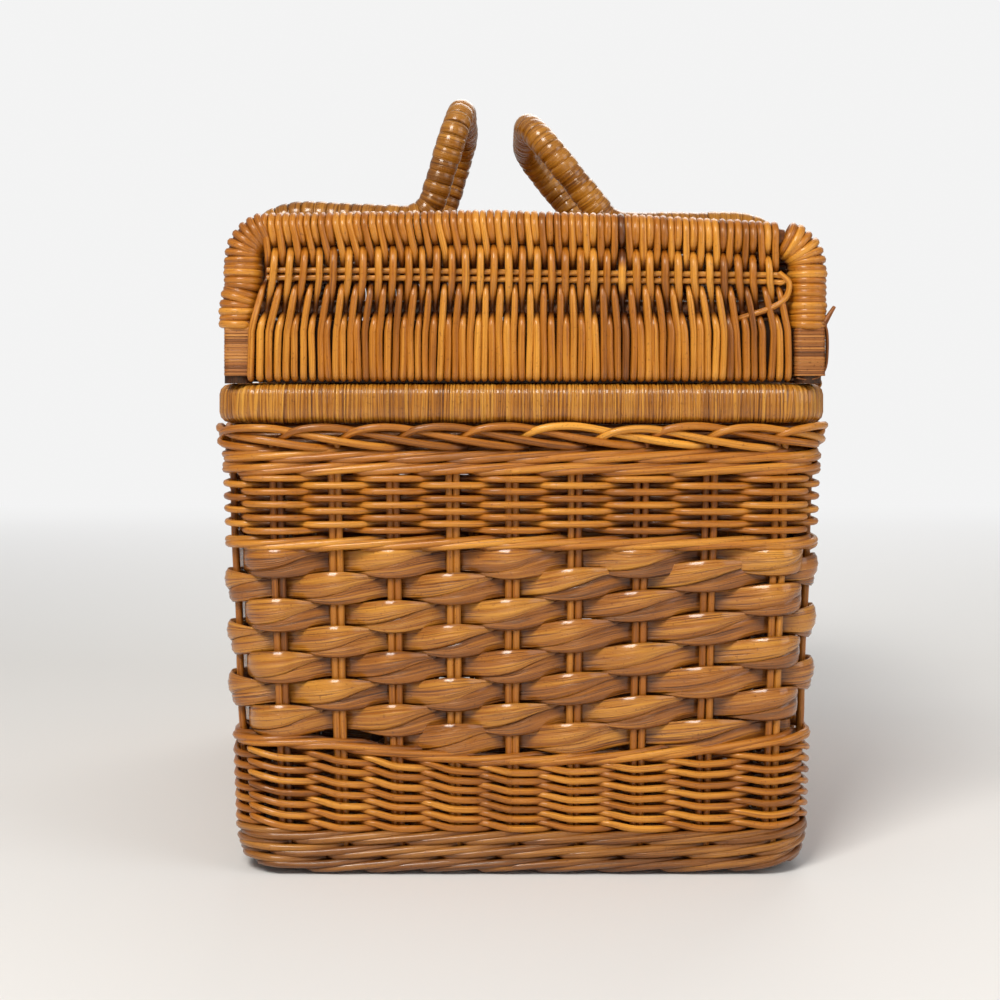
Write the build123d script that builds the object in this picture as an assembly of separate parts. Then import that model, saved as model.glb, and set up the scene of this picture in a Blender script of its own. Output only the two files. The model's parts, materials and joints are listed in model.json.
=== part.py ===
from build123d import *
import math
import os

# Lidded rattan sewing basket. X runs across the short end, Y along the length, Z up from the floor.
# Every size is in millimetres.

# Driving sizes of the basket
rim_width = 226.0
rim_length = 341.0
corner_radius = 26.0
foot_inset = 6.5
foot_round = 9.0
corner_flats = 3

# Heights of the woven bands above the floor, from the foot to the rim
base_wale_top = 17.0
pairing_top = 41.0
lower_wale_top = 49.0
wide_weave_top = 122.0
middle_wale_top = 127.5
randing_top = 150.0
upper_wale_top = 161.0
border_top = 171.0
rim_top = 184.6

# Rows in each band
base_wale_rows = 5
pairing_rows = 6
wide_rows = 8
randing_rows = 8
upper_wale_rows = 3

# Thickness of the weave and of the pieces in it
weave_thick = 4.0
row_groove = 1.1
stake_count = 46
stake_thick = 3.0
stake_pair_width = 6.6
splint_thick = 2.1
splint_tall = 12.0
splint_short = 7.0
splint_swing = 3.6
border_thick = 9.0
border_lift = 1.6
border_proud = 1.4
border_round = 2.6
rim_thick = 8.0
rim_edge = 2.6
base_thick = 4.0
base_ridges = 10
base_ridge = 0.9
base_stick_count = 7
base_stick_width = 4.0
base_stick_thick = 2.6
seat_gap = 0.15

# The lid. A share is a part of the lid's own depth.
lid_height = 249.4
lid_seam = 0.5
shoulder_radius = 17.5
frame_rod = 13.4
frame_sides = 8
rail_share = 0.3655
rail_thick = 7.0
lid_weave_thick = 3.6
lid_weave_inset = 1.5
lid_ridge = 1.0
lid_strand_pitch = 3.2
end_strand_count = 26
end_weave_thick = 4.2
end_weave_inset = 0.6
end_strand_groove = 1.2
mid_rod_thick = 2.6
mid_rod_share = 0.79333
mid_rod_pitch = 4.4
mid_rod_inset = 9.0
rib_count = 6
rib_thick = 3.0
rib_width = 4.0

# The carrying handles, one on each long side of the lid
handle_rod = 12.4
handle_sides = 8
handle_span = 115.0
handle_rest_gap = 0.4
handle_pivot_share = 0.574
handle_heel_x = 40.0
handle_rise_left = 55.4
handle_rise_right = 48.6
handle_angle_left = 16.5
handle_angle_right = 39.5
handle_heel_radius = 13.0
handle_corner_radius = 20.0
handle_shoulder_bend = 24.0
handle_shoulder_lift = 4.5
bend_flats = 4
stub_rod = 5.6
stub_length = 8.5
loop_sides = 8
loop_wall = 3.0
loop_clearance = 0.35
loop_width = 7.0
loop_side_gap = 0.4
loop_tail_gap = 4.4

# The cane hinge along one long side
hinge_rod = 5.2
hinge_reach = 6.4
hinge_rod_length = 232.0
hinge_clearance = 0.35
hinge_loop_wall = 1.7
hinge_loop_width = 9.0
hinge_loop_count = 2
hinge_loop_pitch = 170.0
hinge_lug_width = 8.0
hinge_lug_height = 4.4
hinge_neck_drop = 9.0

half_x = rim_width / 2
half_y = rim_length / 2
lid_bottom = rim_top + lid_seam
lid_depth = lid_height - lid_bottom
rail_height = lid_depth * rail_share
rail_top = lid_bottom + rail_height
mid_rod_height = lid_bottom + (lid_depth - frame_rod) * mid_rod_share
handle_pivot_height = lid_bottom + lid_depth * handle_pivot_share
stake_line = weave_thick + seat_gap + stake_thick / 2
strand_foot = rail_top + seat_gap
handle_pivot_x = half_x - lid_weave_inset + handle_rest_gap + handle_rod / 2


def wall_inset(z):
    """How far the wall stands inside the rim at height z."""
    return foot_inset * max(0.0, 1 - z / border_top)


def foot_inset_at(z):
    """The extra inset of the rounded bottom edge."""
    if z >= foot_round:
        return 0.0
    return foot_round - math.sqrt(foot_round ** 2 - (foot_round - z) ** 2)


def stations():
    """Places round the plan where the weave turns, as corner centre and angle.

    A weaver runs straight from stake to stake, so a corner is a few flats and not an arc.
    """
    cx, cy = half_x - corner_radius, half_y - corner_radius
    turns = []
    for (x, y), start in (((cx, -cy), 270), ((cx, cy), 0), ((-cx, cy), 90), ((-cx, -cy), 180)):
        for k in range(corner_flats + 1):
            turns.append((x, y, math.radians(start + 90 * k / corner_flats)))
    return turns


def at_station(station, offset, z):
    """The point that lies offset outside the rim line at a station."""
    x, y, angle = station
    reach = corner_radius + offset
    return Vector(x + reach * math.cos(angle), y + reach * math.sin(angle), z)


def plan_point(distance, offset, z):
    """The point at a distance along the line of stakes, from the middle of the front end towards +X."""
    turns = stations()
    distance = (distance + half_x - corner_radius) % plan_length()
    for here, there in zip([turns[-1]] + turns, turns):
        run = (at_station(there, -stake_line, 0) - at_station(here, -stake_line, 0)).length
        if distance <= run:
            break
        distance -= run
    start, stop = at_station(here, offset, z), at_station(there, offset, z)
    return start + (stop - start) * (distance / run)


def plan_length():
    """Length of the line on which the stakes stand."""
    turns = stations()
    spots = [at_station(turn, -stake_line, 0) for turn in turns]
    return sum((b - a).length for a, b in zip(spots, spots[1:] + spots[:1]))


def flat_faces(points):
    """One face through four points, or two where they don't lie in one plane."""
    a, b, c, d = points
    normal = (b - a).cross(c - a)
    if abs(normal.dot(d - a)) < 1e-6 * max(normal.length, 1e-9):
        return [Face(Wire.make_polygon(points))]
    return [Face(Wire.make_polygon([a, b, c])), Face(Wire.make_polygon([a, c, d]))]


def closed_ring(sections):
    """A solid ring through cross-sections that follow one another round the basket."""
    faces = []
    for here, there in zip(sections, sections[1:] + sections[:1]):
        for i in range(len(here)):
            j = (i + 1) % len(here)
            faces += flat_faces([here[i], here[j], there[j], there[i]])
    return Solid(Shell(faces))


def ring_of_profile(profile):
    """A band: one profile of (offset, z) points carried round the plan."""
    return closed_ring([[at_station(s, o, z) for o, z in profile] for s in stations()])


def row_ridges(rows, z_low, z_high):
    """The outer face of a band as (offset, z) points, with one ridge for each row."""
    pitch = (z_high - z_low) / rows
    points = [(-wall_inset(z_low) - foot_inset_at(z_low) - row_groove, z_low)]
    for row in range(rows):
        crest = z_low + (row + 0.5) * pitch
        valley = z_low + (row + 1) * pitch
        points.append((-wall_inset(crest) - foot_inset_at(crest), crest))
        points.append((-wall_inset(valley) - foot_inset_at(valley) - row_groove, valley))
    return points


def woven_band(bands):
    """Bands of rows that lie on one another, with a plain inner face that the stakes lie on."""
    z_low, z_high = bands[0][1], bands[-1][2]
    profile = [(-wall_inset(z_low) - foot_inset_at(z_low) - row_groove, z_low)]
    for band in bands:
        profile += row_ridges(*band)[1:]
    profile.append((-wall_inset(z_high) - weave_thick, z_high))
    if z_low < foot_round:
        profile.append((-wall_inset(foot_round) - weave_thick, foot_round))
    profile.append((-wall_inset(z_low) - foot_inset_at(z_low) - weave_thick, z_low))
    return ring_of_profile(profile)


def stake_pair(distance):
    """One pair of stakes from the base to the border, leaning out with the wall."""
    sections = []
    for z in (foot_round + seat_gap, upper_wale_top):
        offset = -wall_inset(z) - weave_thick - seat_gap - stake_thick / 2
        middle = plan_point(distance, offset, z)
        along = (plan_point(distance + 1, offset, z) - plan_point(distance - 1, offset, z)).normalized()
        across = along * (stake_pair_width / 2)
        ahead = along.cross(Vector(0, 0, 1)) * (stake_thick / 2)
        sections.append([middle + ahead - across, middle + ahead + across,
                         middle - ahead + across, middle - ahead - across])
    return open_run(sections)


def open_run(sections):
    """A solid through cross-sections in a row, closed at both ends."""
    faces = [Face(Wire.make_polygon(sections[0])), Face(Wire.make_polygon(sections[-1]))]
    for here, there in zip(sections, sections[1:]):
        for i in range(len(here)):
            j = (i + 1) % len(here)
            faces += flat_faces([here[i], here[j], there[j], there[i]])
    return Solid(Shell(faces))


def make_stakes():
    """Pairs of rods, evenly spaced round the wall."""
    pitch = plan_length() / stake_count
    return [stake_pair(k * pitch) for k in range(stake_count)]


def splint_ring(row):
    """One flat splint woven in front of one stake pair and behind the next.

    It stands tall where it bulges over a pair and is squeezed narrow where it passes behind one.
    """
    pitch = plan_length() / stake_count
    row_pitch = (wide_weave_top - lower_wale_top) / wide_rows
    middle = lower_wale_top + (row + 0.5) * row_pitch
    spare = row_pitch - (splint_tall + splint_short) / 2 - seat_gap
    wall = -wall_inset(middle) - weave_thick - seat_gap
    swing = splint_swing + seat_gap
    in_front = (wall + splint_thick + swing, (splint_tall + spare) / 2)
    behind = (wall - stake_thick - swing, (splint_short + spare) / 2)
    places = [(k * pitch, in_front if (k + row) % 2 == 1 else behind) for k in range(stake_count)]
    halfway = tuple((a + b) / 2 for a, b in zip(in_front, behind))
    for bend in corner_places():
        places.append((bend, halfway))
    sections = []
    for distance, (outer, half) in sorted(places):
        low = max(middle - half, lower_wale_top)
        high = min(middle + half, wide_weave_top)
        inner = outer - splint_thick
        sections.append([plan_point(distance, o, z) for o, z in
                         ((outer, low), (outer, high), (inner, high), (inner, low))])
    return closed_ring(sections)


def corner_places():
    """Distances round the plan to the spot halfway between the two stakes that share a corner."""
    pitch = plan_length() / stake_count
    quarter = plan_length() / 4
    places = []
    for k in range(4):
        corner = (half_x - corner_radius) + corner_run() / 2
        distance = (corner, 2 * quarter - corner, 2 * quarter + corner, 4 * quarter - corner)[k]
        places.append((math.floor(distance / pitch) + 0.5) * pitch)
    return places


def corner_run():
    """Length of the line of stakes round one corner."""
    turns = stations()[: corner_flats + 1]
    spots = [at_station(turn, -stake_line, 0) for turn in turns]
    return sum((b - a).length for a, b in zip(spots, spots[1:]))


def make_border():
    """The rolled border: each stake end comes up, arches over its neighbours and dives back in."""
    pitch = plan_length() / stake_count
    low = upper_wale_top + seat_gap
    sections = []
    for distance in sorted([k * pitch for k in range(stake_count)] + corner_places()):
        crest = round(distance / pitch) % 2
        high = border_top - (0.0 if crest else border_lift)
        outer = border_proud - (0.0 if crest else border_lift / 2)
        inner = outer - border_thick
        middle = (low + high) / 2
        profile = [(outer - border_round, low), (outer, middle), (outer - border_round, high),
                   (inner + border_round, high), (inner, middle), (inner + border_round, low)]
        sections.append([plan_point(distance, o, z) for o, z in profile])
    return closed_ring(sections)


def make_rim():
    """The hoop on top of the border, a flat bar with rounded edges under its binding."""
    low, high = border_top + seat_gap, rim_top
    outer, inner, e = 0.0, -rim_thick, rim_edge
    return ring_of_profile([(outer - e, low), (outer, low + e), (outer, high - e), (outer - e, high),
                            (inner + e, high), (inner, high - e), (inner, low + e), (inner + e, low)])


def make_base():
    """The woven base: a mat with one ridge for each weaver, inside the first rows of the wall."""
    inset = wall_inset(0) + weave_thick + foot_inset_at(0) + seat_gap
    outline = make_face(Polyline(*[at_station(turn, -inset, 0) for turn in stations()], close=True))
    mat = extrude(outline, base_thick)
    end = half_y - inset
    pitch = 2 * end / base_ridges
    points = [(-end, 2 * base_thick), (-end, base_thick - base_ridge)]
    for k in range(base_ridges):
        points += [((k + 0.5) * pitch - end, base_thick), ((k + 1) * pitch - end, base_thick - base_ridge)]
    points.append((end, 2 * base_thick))
    above = extrude(Plane.YZ * make_face(Polyline(*points, close=True)), rim_width, both=True)
    return mat - above


def make_base_sticks():
    """Sticks along the base that the mat is woven round."""
    room = rim_width - 2 * (wall_inset(0) + weave_thick + stake_line + corner_radius)
    length = rim_length - 2 * (foot_inset + foot_round + weave_thick + stake_line)
    pitch = room / (base_stick_count - 1)
    sticks = []
    for k in range(base_stick_count):
        x = -room / 2 + k * pitch
        sticks.append(Pos(x, 0, base_thick + base_stick_thick / 2)
                      * Box(base_stick_width, length, base_stick_thick))
    return sticks


def arch_line(inset, z_low, flats):
    """Corner points of an arch inside the lid's outline: up one side, over both shoulders and down."""
    radius = shoulder_radius - inset
    cx, cz = half_x - shoulder_radius, lid_height - shoulder_radius
    points = [(half_x - inset, z_low)]
    for side, start in ((1, 0), (-1, 90)):
        for k in range(flats + 1):
            angle = math.radians(start + 90 * k / flats)
            points.append((side * cx + radius * math.cos(angle), cz + radius * math.sin(angle)))
    points.append((inset - half_x, z_low))
    return points


def along_arch(distance, inset):
    """The point at a distance along the arch of lid strands, from the top of one rail to the other."""
    side = lid_height - shoulder_radius - strand_foot
    arc = (shoulder_radius - lid_weave_inset) * math.pi / 2
    top = rim_width - 2 * shoulder_radius
    cx, cz = half_x - shoulder_radius, lid_height - shoulder_radius
    reach = shoulder_radius - inset
    turn = min(max((distance - side) / arc, 0.0), 1.0) + min(max((distance - side - arc - top) / arc, 0.0), 1.0)
    angle = turn * math.pi / 2
    run = min(max(distance - side - arc, 0.0), top)
    x = cx - run + reach * math.cos(angle)
    if distance < side:
        return (x, strand_foot + distance)
    fall = max(distance - side - 2 * arc - top, 0.0)
    return (x, cz + reach * math.sin(angle) - fall)


def make_lid_weave():
    """The lid's top and long sides: strands along the basket, one ridge for each."""
    length = rim_length - 2 * (frame_rod + seat_gap)
    side = lid_height - shoulder_radius - strand_foot
    arc = (shoulder_radius - lid_weave_inset) * math.pi / 2
    total = 2 * side + 2 * arc + rim_width - 2 * shoulder_radius
    count = round(total / lid_strand_pitch)
    outer = []
    for k in range(count):
        outer.append(along_arch(total * k / count, lid_weave_inset + lid_ridge))
        outer.append(along_arch(total * (k + 0.5) / count, lid_weave_inset))
    outer.append(along_arch(total, lid_weave_inset + lid_ridge))
    inner = arch_line(lid_weave_inset + lid_weave_thick, strand_foot, corner_flats)
    outline = make_face(Polyline(*outer, *reversed(inner), close=True))
    return extrude(Plane.XZ * outline, length / 2, both=True)


def make_lid_ribs():
    """Ribs across the lid that its strands are woven over."""
    length = rim_length - 2 * (frame_rod + seat_gap)
    pitch = length / (rib_count + 1)
    inset = lid_weave_inset + lid_weave_thick + seat_gap
    ribs = []
    for k in range(rib_count):
        front = -length / 2 + (k + 1) * pitch - rib_width / 2
        back = front + rib_width
        sections = []
        for (ox, oz), (ix, iz) in zip(arch_line(inset, strand_foot, corner_flats),
                                      arch_line(inset + rib_thick, strand_foot, corner_flats)):
            sections.append([Vector(ix, front, iz), Vector(ix, back, iz),
                             Vector(ox, back, oz), Vector(ox, front, oz)])
        ribs.append(open_run(sections))
    return ribs


def make_end_frame(end):
    """The bound rod that arches over one end of the lid, down to its bottom edge."""
    inset = frame_rod / 2
    y = end * (half_y - inset)
    side, top = half_x - inset, lid_height - inset
    corners = [Vector(side, y, lid_bottom), Vector(side, y, top), Vector(-side, y, top), Vector(-side, y, lid_bottom)]
    return rod_along(bent_path(corners, [shoulder_radius - inset] * 2), frame_rod, frame_sides)


def make_end_weave(end):
    """The woven end of the lid: upright strands with the pair of middle rods let in across them."""
    side = half_x - frame_rod - seat_gap
    face = half_y - end_weave_inset
    pitch = 2 * side / end_strand_count
    points = []
    for k in range(end_strand_count):
        points.append((-side + k * pitch, face - end_strand_groove))
        points.append((-side + (k + 0.5) * pitch, face))
    points += [(side, face - end_strand_groove), (side, face - end_weave_thick),
               (-side, face - end_weave_thick)]
    outline = Pos(0, 0, lid_bottom) * make_face(Polyline(*points, close=True))
    plate = extrude(outline, lid_height - frame_rod - seat_gap - lid_bottom)
    channel = mid_rod_thick + mid_rod_pitch + 2 * seat_gap
    groove = Pos(0, face, mid_rod_height) * Box(2 * side, 2 * (mid_rod_thick + seat_gap), channel)
    notch = (shoulder_radius - frame_rod + seat_gap) * math.sqrt(2)
    for s in (-1, 1):
        corner = Pos(s * side, face, lid_height - frame_rod - seat_gap) * Rot(0, 45, 0)
        plate = plate - corner * Box(notch, 4 * end_weave_thick, notch)
    plate = plate - groove
    return plate if end > 0 else plate.rotate(Axis.Z, 180)


def make_mid_rods(end):
    """The pair of thin rods that run across the middle of one end of the lid."""
    length = rim_width - 2 * (frame_rod + mid_rod_inset)
    y = end * (half_y - end_weave_inset - mid_rod_thick / 2)
    return [Pos(0, y, mid_rod_height + s * mid_rod_pitch / 2) * Box(length, mid_rod_thick, mid_rod_thick)
            for s in (-1, 1)]


def make_crossbar(end):
    """The flat bar across the bottom of one end of the lid, behind its strands."""
    length = rim_width - 2 * (frame_rod + seat_gap)
    y = half_y - end_weave_inset - end_weave_thick - seat_gap - rail_thick / 2
    return Pos(0, end * y, (lid_bottom + rail_top) / 2) * Box(length, rail_thick, rail_height)


def make_side_rail(side):
    """The flat bar along the bottom of one long side of the lid, with rounded outer edges."""
    length = rim_length - 2 * (frame_rod + seat_gap)
    bar = Pos(side * (half_x - rail_thick / 2), 0, (lid_bottom + rail_top) / 2) \
        * Box(rail_thick, length, rail_height)
    edges = bar.edges().filter_by(Axis.Y).sort_by(Axis.X)
    return chamfer(edges[-2:] if side > 0 else edges[:2], rim_edge / 2)


def bent_path(corners, radii):
    """Points along straight runs whose corners are rounded with a few flats."""
    points = [corners[0]]
    for before, corner, after, radius in zip(corners, corners[1:], corners[2:], radii):
        back = (before - corner).normalized()
        on = (after - corner).normalized()
        turn = math.radians(180 - back.get_angle(on))
        setback = radius * math.tan(turn / 2)
        start = corner + back * setback
        centre = corner + (back + on).normalized() * (radius / math.cos(turn / 2))
        axis = (corner - start).cross(on).normalized()
        for k in range(bend_flats + 1):
            arm = (start - centre).rotate(Axis((0, 0, 0), axis), math.degrees(turn) * k / bend_flats)
            points.append(centre + arm)
    points.append(corners[-1])
    return points


def rod_along(points, diameter, sides):
    """A rod of regular section along a bent path, mitred at every bend."""
    radius = diameter / 2 / math.cos(math.pi / sides)
    heading = (points[1] - points[0]).normalized()
    spoke = heading.cross(Vector(0, 1, 0))
    spoke = (spoke if spoke.length > 0.1 else heading.cross(Vector(0, 0, 1))).normalized()
    ring = [points[0] + spoke.rotate(Axis((0, 0, 0), heading), 360 * (k + 0.5) / sides) * radius
            for k in range(sides)]
    sections = [ring]
    for before, here, after in zip(points, points[1:], points[2:] + [None]):
        heading = (here - before).normalized()
        normal = heading if after is None else (heading + (after - here).normalized()).normalized()
        ring = [p + heading * ((here - p).dot(normal) / heading.dot(normal)) for p in ring]
        sections.append(ring)
    return open_run(sections)


def make_handle(side, top, angle):
    """A bound cane handle, hung at the lid's side.

    Each leg goes up the side, over the shoulder and inwards along the lid, and then stands up to
    the grip. At its foot a knuckle and a stub turn in a cane loop.
    """
    run_z = lid_height - lid_weave_inset + handle_rest_gap + handle_rod / 2
    grip_x = handle_heel_x - (top - run_z) * math.tan(math.radians(angle))
    end = handle_span / 2
    leg = [(handle_pivot_x, handle_pivot_height), (handle_pivot_x, run_z + handle_shoulder_lift),
           (handle_heel_x, run_z), (grip_x, top)]
    corners = [Vector(x, -end, z) for x, z in leg] + [Vector(x, end, z) for x, z in reversed(leg)]
    radii = [handle_shoulder_bend, handle_heel_radius, handle_corner_radius]
    bail = rod_along(bent_path(corners, radii + radii[::-1]), handle_rod, handle_sides)
    reach = handle_rod / 2 + stub_length
    knuckle = extrude(RegularPolygon(handle_rod / 2, handle_sides), handle_rod / 2, both=True)
    for s in (-1, 1):
        stub = extrude(RegularPolygon(stub_rod / 2, handle_sides), s * reach)
        bail = bail + Pos(handle_pivot_x, s * end, handle_pivot_height) * Rot(-90, 0, 0) * (knuckle + stub)
    return bail if side > 0 else bail.mirror(Plane.YZ)


def loop_profile(x, z, bore, wall, tail):
    """An eye round (x, z), with a tail that runs back to what the loop is bound to."""
    eye = RegularPolygon(bore + wall, loop_sides, major_radius=False, rotation=180 / loop_sides)
    back = make_face(Polyline(*tail, (x, z), (x, z - bore - wall), close=True))
    return Pos(x, z) * eye + back - Pos(x, z) * Circle(bore)


def make_handle_loops():
    """Cane loops on the long sides of the lid, each with the stub of a handle turning in it."""
    face = half_x - lid_weave_inset + seat_gap
    x, z = handle_pivot_x, handle_pivot_height
    profile = loop_profile(x, z, stub_rod / 2 + loop_clearance, loop_wall, [(face, rail_top + loop_tail_gap), (face, z)])
    reach = handle_span / 2 + handle_rod / 2 + loop_side_gap + loop_width / 2
    loops = []
    for y in (-reach, reach):
        loop = extrude(Pos(0, y, 0) * (Plane.XZ * profile), loop_width / 2, both=True)
        loops += [loop, loop.mirror(Plane.YZ)]
    return loops


def hinge_axis():
    """Where the lid's hinge rod lies, as X and Z."""
    return half_x + hinge_reach, rim_top


def make_hinge_rod():
    """The rod along the back of the lid that turns in the hinge loops."""
    x, z = hinge_axis()
    return Pos(x, 0, z) * Rot(90, 0, 0) \
        * extrude(RegularPolygon(hinge_rod / 2, handle_sides, rotation=180 / handle_sides),
                  hinge_rod_length / 2, both=True)


def make_hinge_lugs():
    """Ties that hold the hinge rod to the lid's side rail, beside the loops."""
    x, z = hinge_axis()
    flat = hinge_rod / 2 * math.cos(math.pi / handle_sides)
    wide = x - flat - half_x
    first = hinge_loop_pitch / 2 - hinge_loop_width / 2 - hinge_lug_width
    return [Pos(half_x + wide / 2, y, lid_bottom + hinge_lug_height / 2)
            * Box(wide, hinge_lug_width, hinge_lug_height) for y in (-first, 0, first)]


def make_hinge_loops():
    """Cane loops bound to the rim, with the hinge rod turning in them."""
    x, z = hinge_axis()
    face = half_x + seat_gap
    tail = [(face, rim_top - hinge_neck_drop), (face, rim_top - rim_edge)]
    profile = loop_profile(x, z, hinge_rod / 2 + hinge_clearance, hinge_loop_wall, tail)
    loops = []
    for k in range(hinge_loop_count):
        y = (k - (hinge_loop_count - 1) / 2) * hinge_loop_pitch
        loops.append(extrude(Pos(0, y, 0) * (Plane.XZ * profile), hinge_loop_width / 2, both=True))
    return loops


def write(name, shape):
    """One STEP file for each node. A list is a group of separate pieces."""
    if isinstance(shape, list):
        shape = Compound(children=[piece.solid() if not isinstance(piece, Solid) else piece for piece in shape])
    export_step(shape, f"parts/{name}.step")


os.makedirs("parts", exist_ok=True)
write("base_mat", make_base())
write("base_sticks", make_base_sticks())
write("stakes", make_stakes())
write("base_wale", woven_band([(base_wale_rows, 0.0, base_wale_top)]))
write("lower_weave", woven_band([(pairing_rows, base_wale_top + seat_gap, pairing_top),
                                 (2, pairing_top, lower_wale_top - seat_gap)]))
write("wide_weave", [splint_ring(row) for row in range(wide_rows)])
write("upper_weave", woven_band([(1, wide_weave_top + seat_gap, middle_wale_top),
                                 (randing_rows, middle_wale_top, randing_top),
                                 (upper_wale_rows, randing_top, upper_wale_top)]))
write("border", make_border())
write("rim_hoop", make_rim())
for label, end in (("front", -1), ("back", 1)):
    write(f"lid_frame_{label}", make_end_frame(end))
    write(f"lid_weave_{label}", make_end_weave(end))
    write(f"lid_mid_rods_{label}", make_mid_rods(end))
    write(f"lid_crossbar_{label}", make_crossbar(end))
for label, side in (("left", -1), ("right", 1)):
    write(f"lid_rail_{label}", make_side_rail(side))
write("handle_loops", make_handle_loops())
write("handle_left", make_handle(-1, lid_height + handle_rise_left, handle_angle_left))
write("handle_right", make_handle(1, lid_height + handle_rise_right, handle_angle_right))
write("lid_top_weave", make_lid_weave())
write("lid_ribs", make_lid_ribs())
write("hinge_rod", make_hinge_rod())
write("hinge_lugs", make_hinge_lugs())
write("hinge_loops", make_hinge_loops())
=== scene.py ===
import json
import math
import bpy
import numpy as np
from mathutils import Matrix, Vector

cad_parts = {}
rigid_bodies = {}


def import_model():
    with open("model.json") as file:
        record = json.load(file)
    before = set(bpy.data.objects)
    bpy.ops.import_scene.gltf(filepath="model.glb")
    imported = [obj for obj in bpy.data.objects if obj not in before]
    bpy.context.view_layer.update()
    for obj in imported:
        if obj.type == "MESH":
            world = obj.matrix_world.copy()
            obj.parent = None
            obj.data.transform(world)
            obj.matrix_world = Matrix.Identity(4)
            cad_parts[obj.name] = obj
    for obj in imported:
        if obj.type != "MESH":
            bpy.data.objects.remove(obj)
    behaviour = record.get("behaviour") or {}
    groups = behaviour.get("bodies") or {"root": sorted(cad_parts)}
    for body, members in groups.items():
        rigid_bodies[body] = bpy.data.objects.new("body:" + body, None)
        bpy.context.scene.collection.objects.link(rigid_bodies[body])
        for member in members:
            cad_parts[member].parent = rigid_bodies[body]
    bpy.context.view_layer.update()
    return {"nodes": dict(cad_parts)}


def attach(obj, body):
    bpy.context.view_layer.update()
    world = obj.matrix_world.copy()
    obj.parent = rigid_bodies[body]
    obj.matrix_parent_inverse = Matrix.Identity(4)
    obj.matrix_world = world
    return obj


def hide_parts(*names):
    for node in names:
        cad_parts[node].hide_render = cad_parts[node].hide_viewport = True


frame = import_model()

mm = 0.001
rng = np.random.default_rng(11)

# Sizes of the basket in millimetres, as in the frame
basket = dict(
    halfX=116.0, halfY=170.5, cornerRadius=20.0, footInset=1.5, sideInset=5.0, wallTop=171.0, footRound=5.0,
    stakeLine=5.65, stakeCount=46, sideTuck=9.0, tuckHeight=17.0, cornerAlong=112.0, cornerSpread=20.0,
)


# places on the wall

straightX = basket["halfX"] - basket["cornerRadius"]
straightY = basket["halfY"] - basket["cornerRadius"]
quarterTurn = math.pi / 2 * (basket["cornerRadius"] - basket["stakeLine"])
runs = np.cumsum([0, straightX, quarterTurn, 2 * straightY, quarterTurn, 2 * straightX, quarterTurn,
                  2 * straightY, quarterTurn, straightX])
centresX = np.array([0, 1, 1, 1, 1, -1, -1, -1, -1, 0]) * straightX
centresY = np.array([-1, -1, -1, 1, 1, 1, 1, -1, -1, -1]) * straightY
turns = np.radians([-90, -90, 0, 0, 90, 90, 180, 180, 270, 270])
aroundLength = runs[-1]
stakePitch = aroundLength / basket["stakeCount"]


def wallInset(z):
    foot = np.clip(basket["footRound"] - z, 0, basket["footRound"])
    rounding = basket["footRound"] - np.sqrt(basket["footRound"] ** 2 - foot ** 2)
    return basket["footInset"] * np.clip(1 - z / basket["wallTop"], 0, None) + rounding


def wallPoints(along, depth, z):  # depth runs inwards from the wall's outer line
    along, depth, z = np.broadcast_arrays(np.asarray(along, float), depth, z)
    s = np.mod(along, aroundLength)
    angle = np.interp(s, runs, turns)
    reach = basket["cornerRadius"] - wallInset(z) - depth
    low = np.clip(1 - z / basket["tuckHeight"], 0, 1)  # the side walls curve in under the foot
    tuck = basket["sideTuck"] * (1 - np.sqrt(1 - low ** 2))
    taper = 1 - basket["sideInset"] / straightX * np.clip(1 - z / basket["wallTop"], 0, None)
    x = np.interp(s, runs, centresX) * taper + (reach - tuck) * np.cos(angle)
    y = np.interp(s, runs, centresY) + reach * np.sin(angle)
    return np.stack([x, y, z], axis=1)


def fromFrontMiddle(along):
    s = np.mod(along, aroundLength)
    return np.where(s > aroundLength / 2, s - aroundLength, s)


def stakeShift(along):  # the pairs stand a little unevenly, as in the photo
    d = fromFrontMiddle(along)
    return np.interp(d, [-150, -93.6, -70.2, -46.8, -23.4, 0, 23.4, 46.8, 70.2, 93.6, 150],
                     [0, 0.2, -1.0, -2.3, -2.9, -3.75, -3.15, -1.4, 1.4, 4.6, 0])


def cornerRise(along):  # the lowest rods climb round the corners of the foot
    d = abs(fromFrontMiddle(along))
    nearest = np.minimum(abs(d - basket["cornerAlong"]), abs(aroundLength / 2 - d - basket["cornerAlong"]))
    return np.exp(-(nearest / basket["cornerSpread"]) ** 2)


def farSide(along):  # 1 on the side and back walls
    return smooth(120, 170, abs(fromFrontMiddle(along)))


def lowerTop(along):  # the lower band's top edge sags in the middle of the front
    d = fromFrontMiddle(along)
    return np.interp(d, [-300, -105, -75, -45, -15, 15, 45, 75, 105, 300],
                     [49.6, 51.4, 50.2, 46.8, 44.2, 43.9, 45.4, 48.4, 52.2, 49.6])


def rowLift(along):  # the wide rows climb towards the right of the front
    d = fromFrontMiddle(along)
    return np.interp(d, [-150, -40, 0, 45, 98, 130, 300], [0, 0, 0.6, 3.4, 6.5, 5.0, 0])


def smooth(edge0, edge1, x):
    t = np.clip((x - edge0) / (edge1 - edge0), 0, 1)
    return t * t * (3 - 2 * t)


def curveThrough(points, count):  # an even run of points on a smooth line through a few
    points = np.asarray(points, float)
    padded = np.vstack([2 * points[0] - points[1], points, 2 * points[-1] - points[-2]])
    t = np.linspace(0, len(points) - 1, count)
    i = np.minimum(t.astype(int), len(points) - 2)
    f = (t - i)[:, None]
    a, b, c, d = (padded[i + k] for k in range(4))
    squared, cubed = 2 * a - 5 * b + 4 * c - d, 3 * b - a - 3 * c + d
    return 0.5 * (2 * b + (c - a) * f + squared * f ** 2 + cubed * f ** 3)


# finishes


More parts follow.
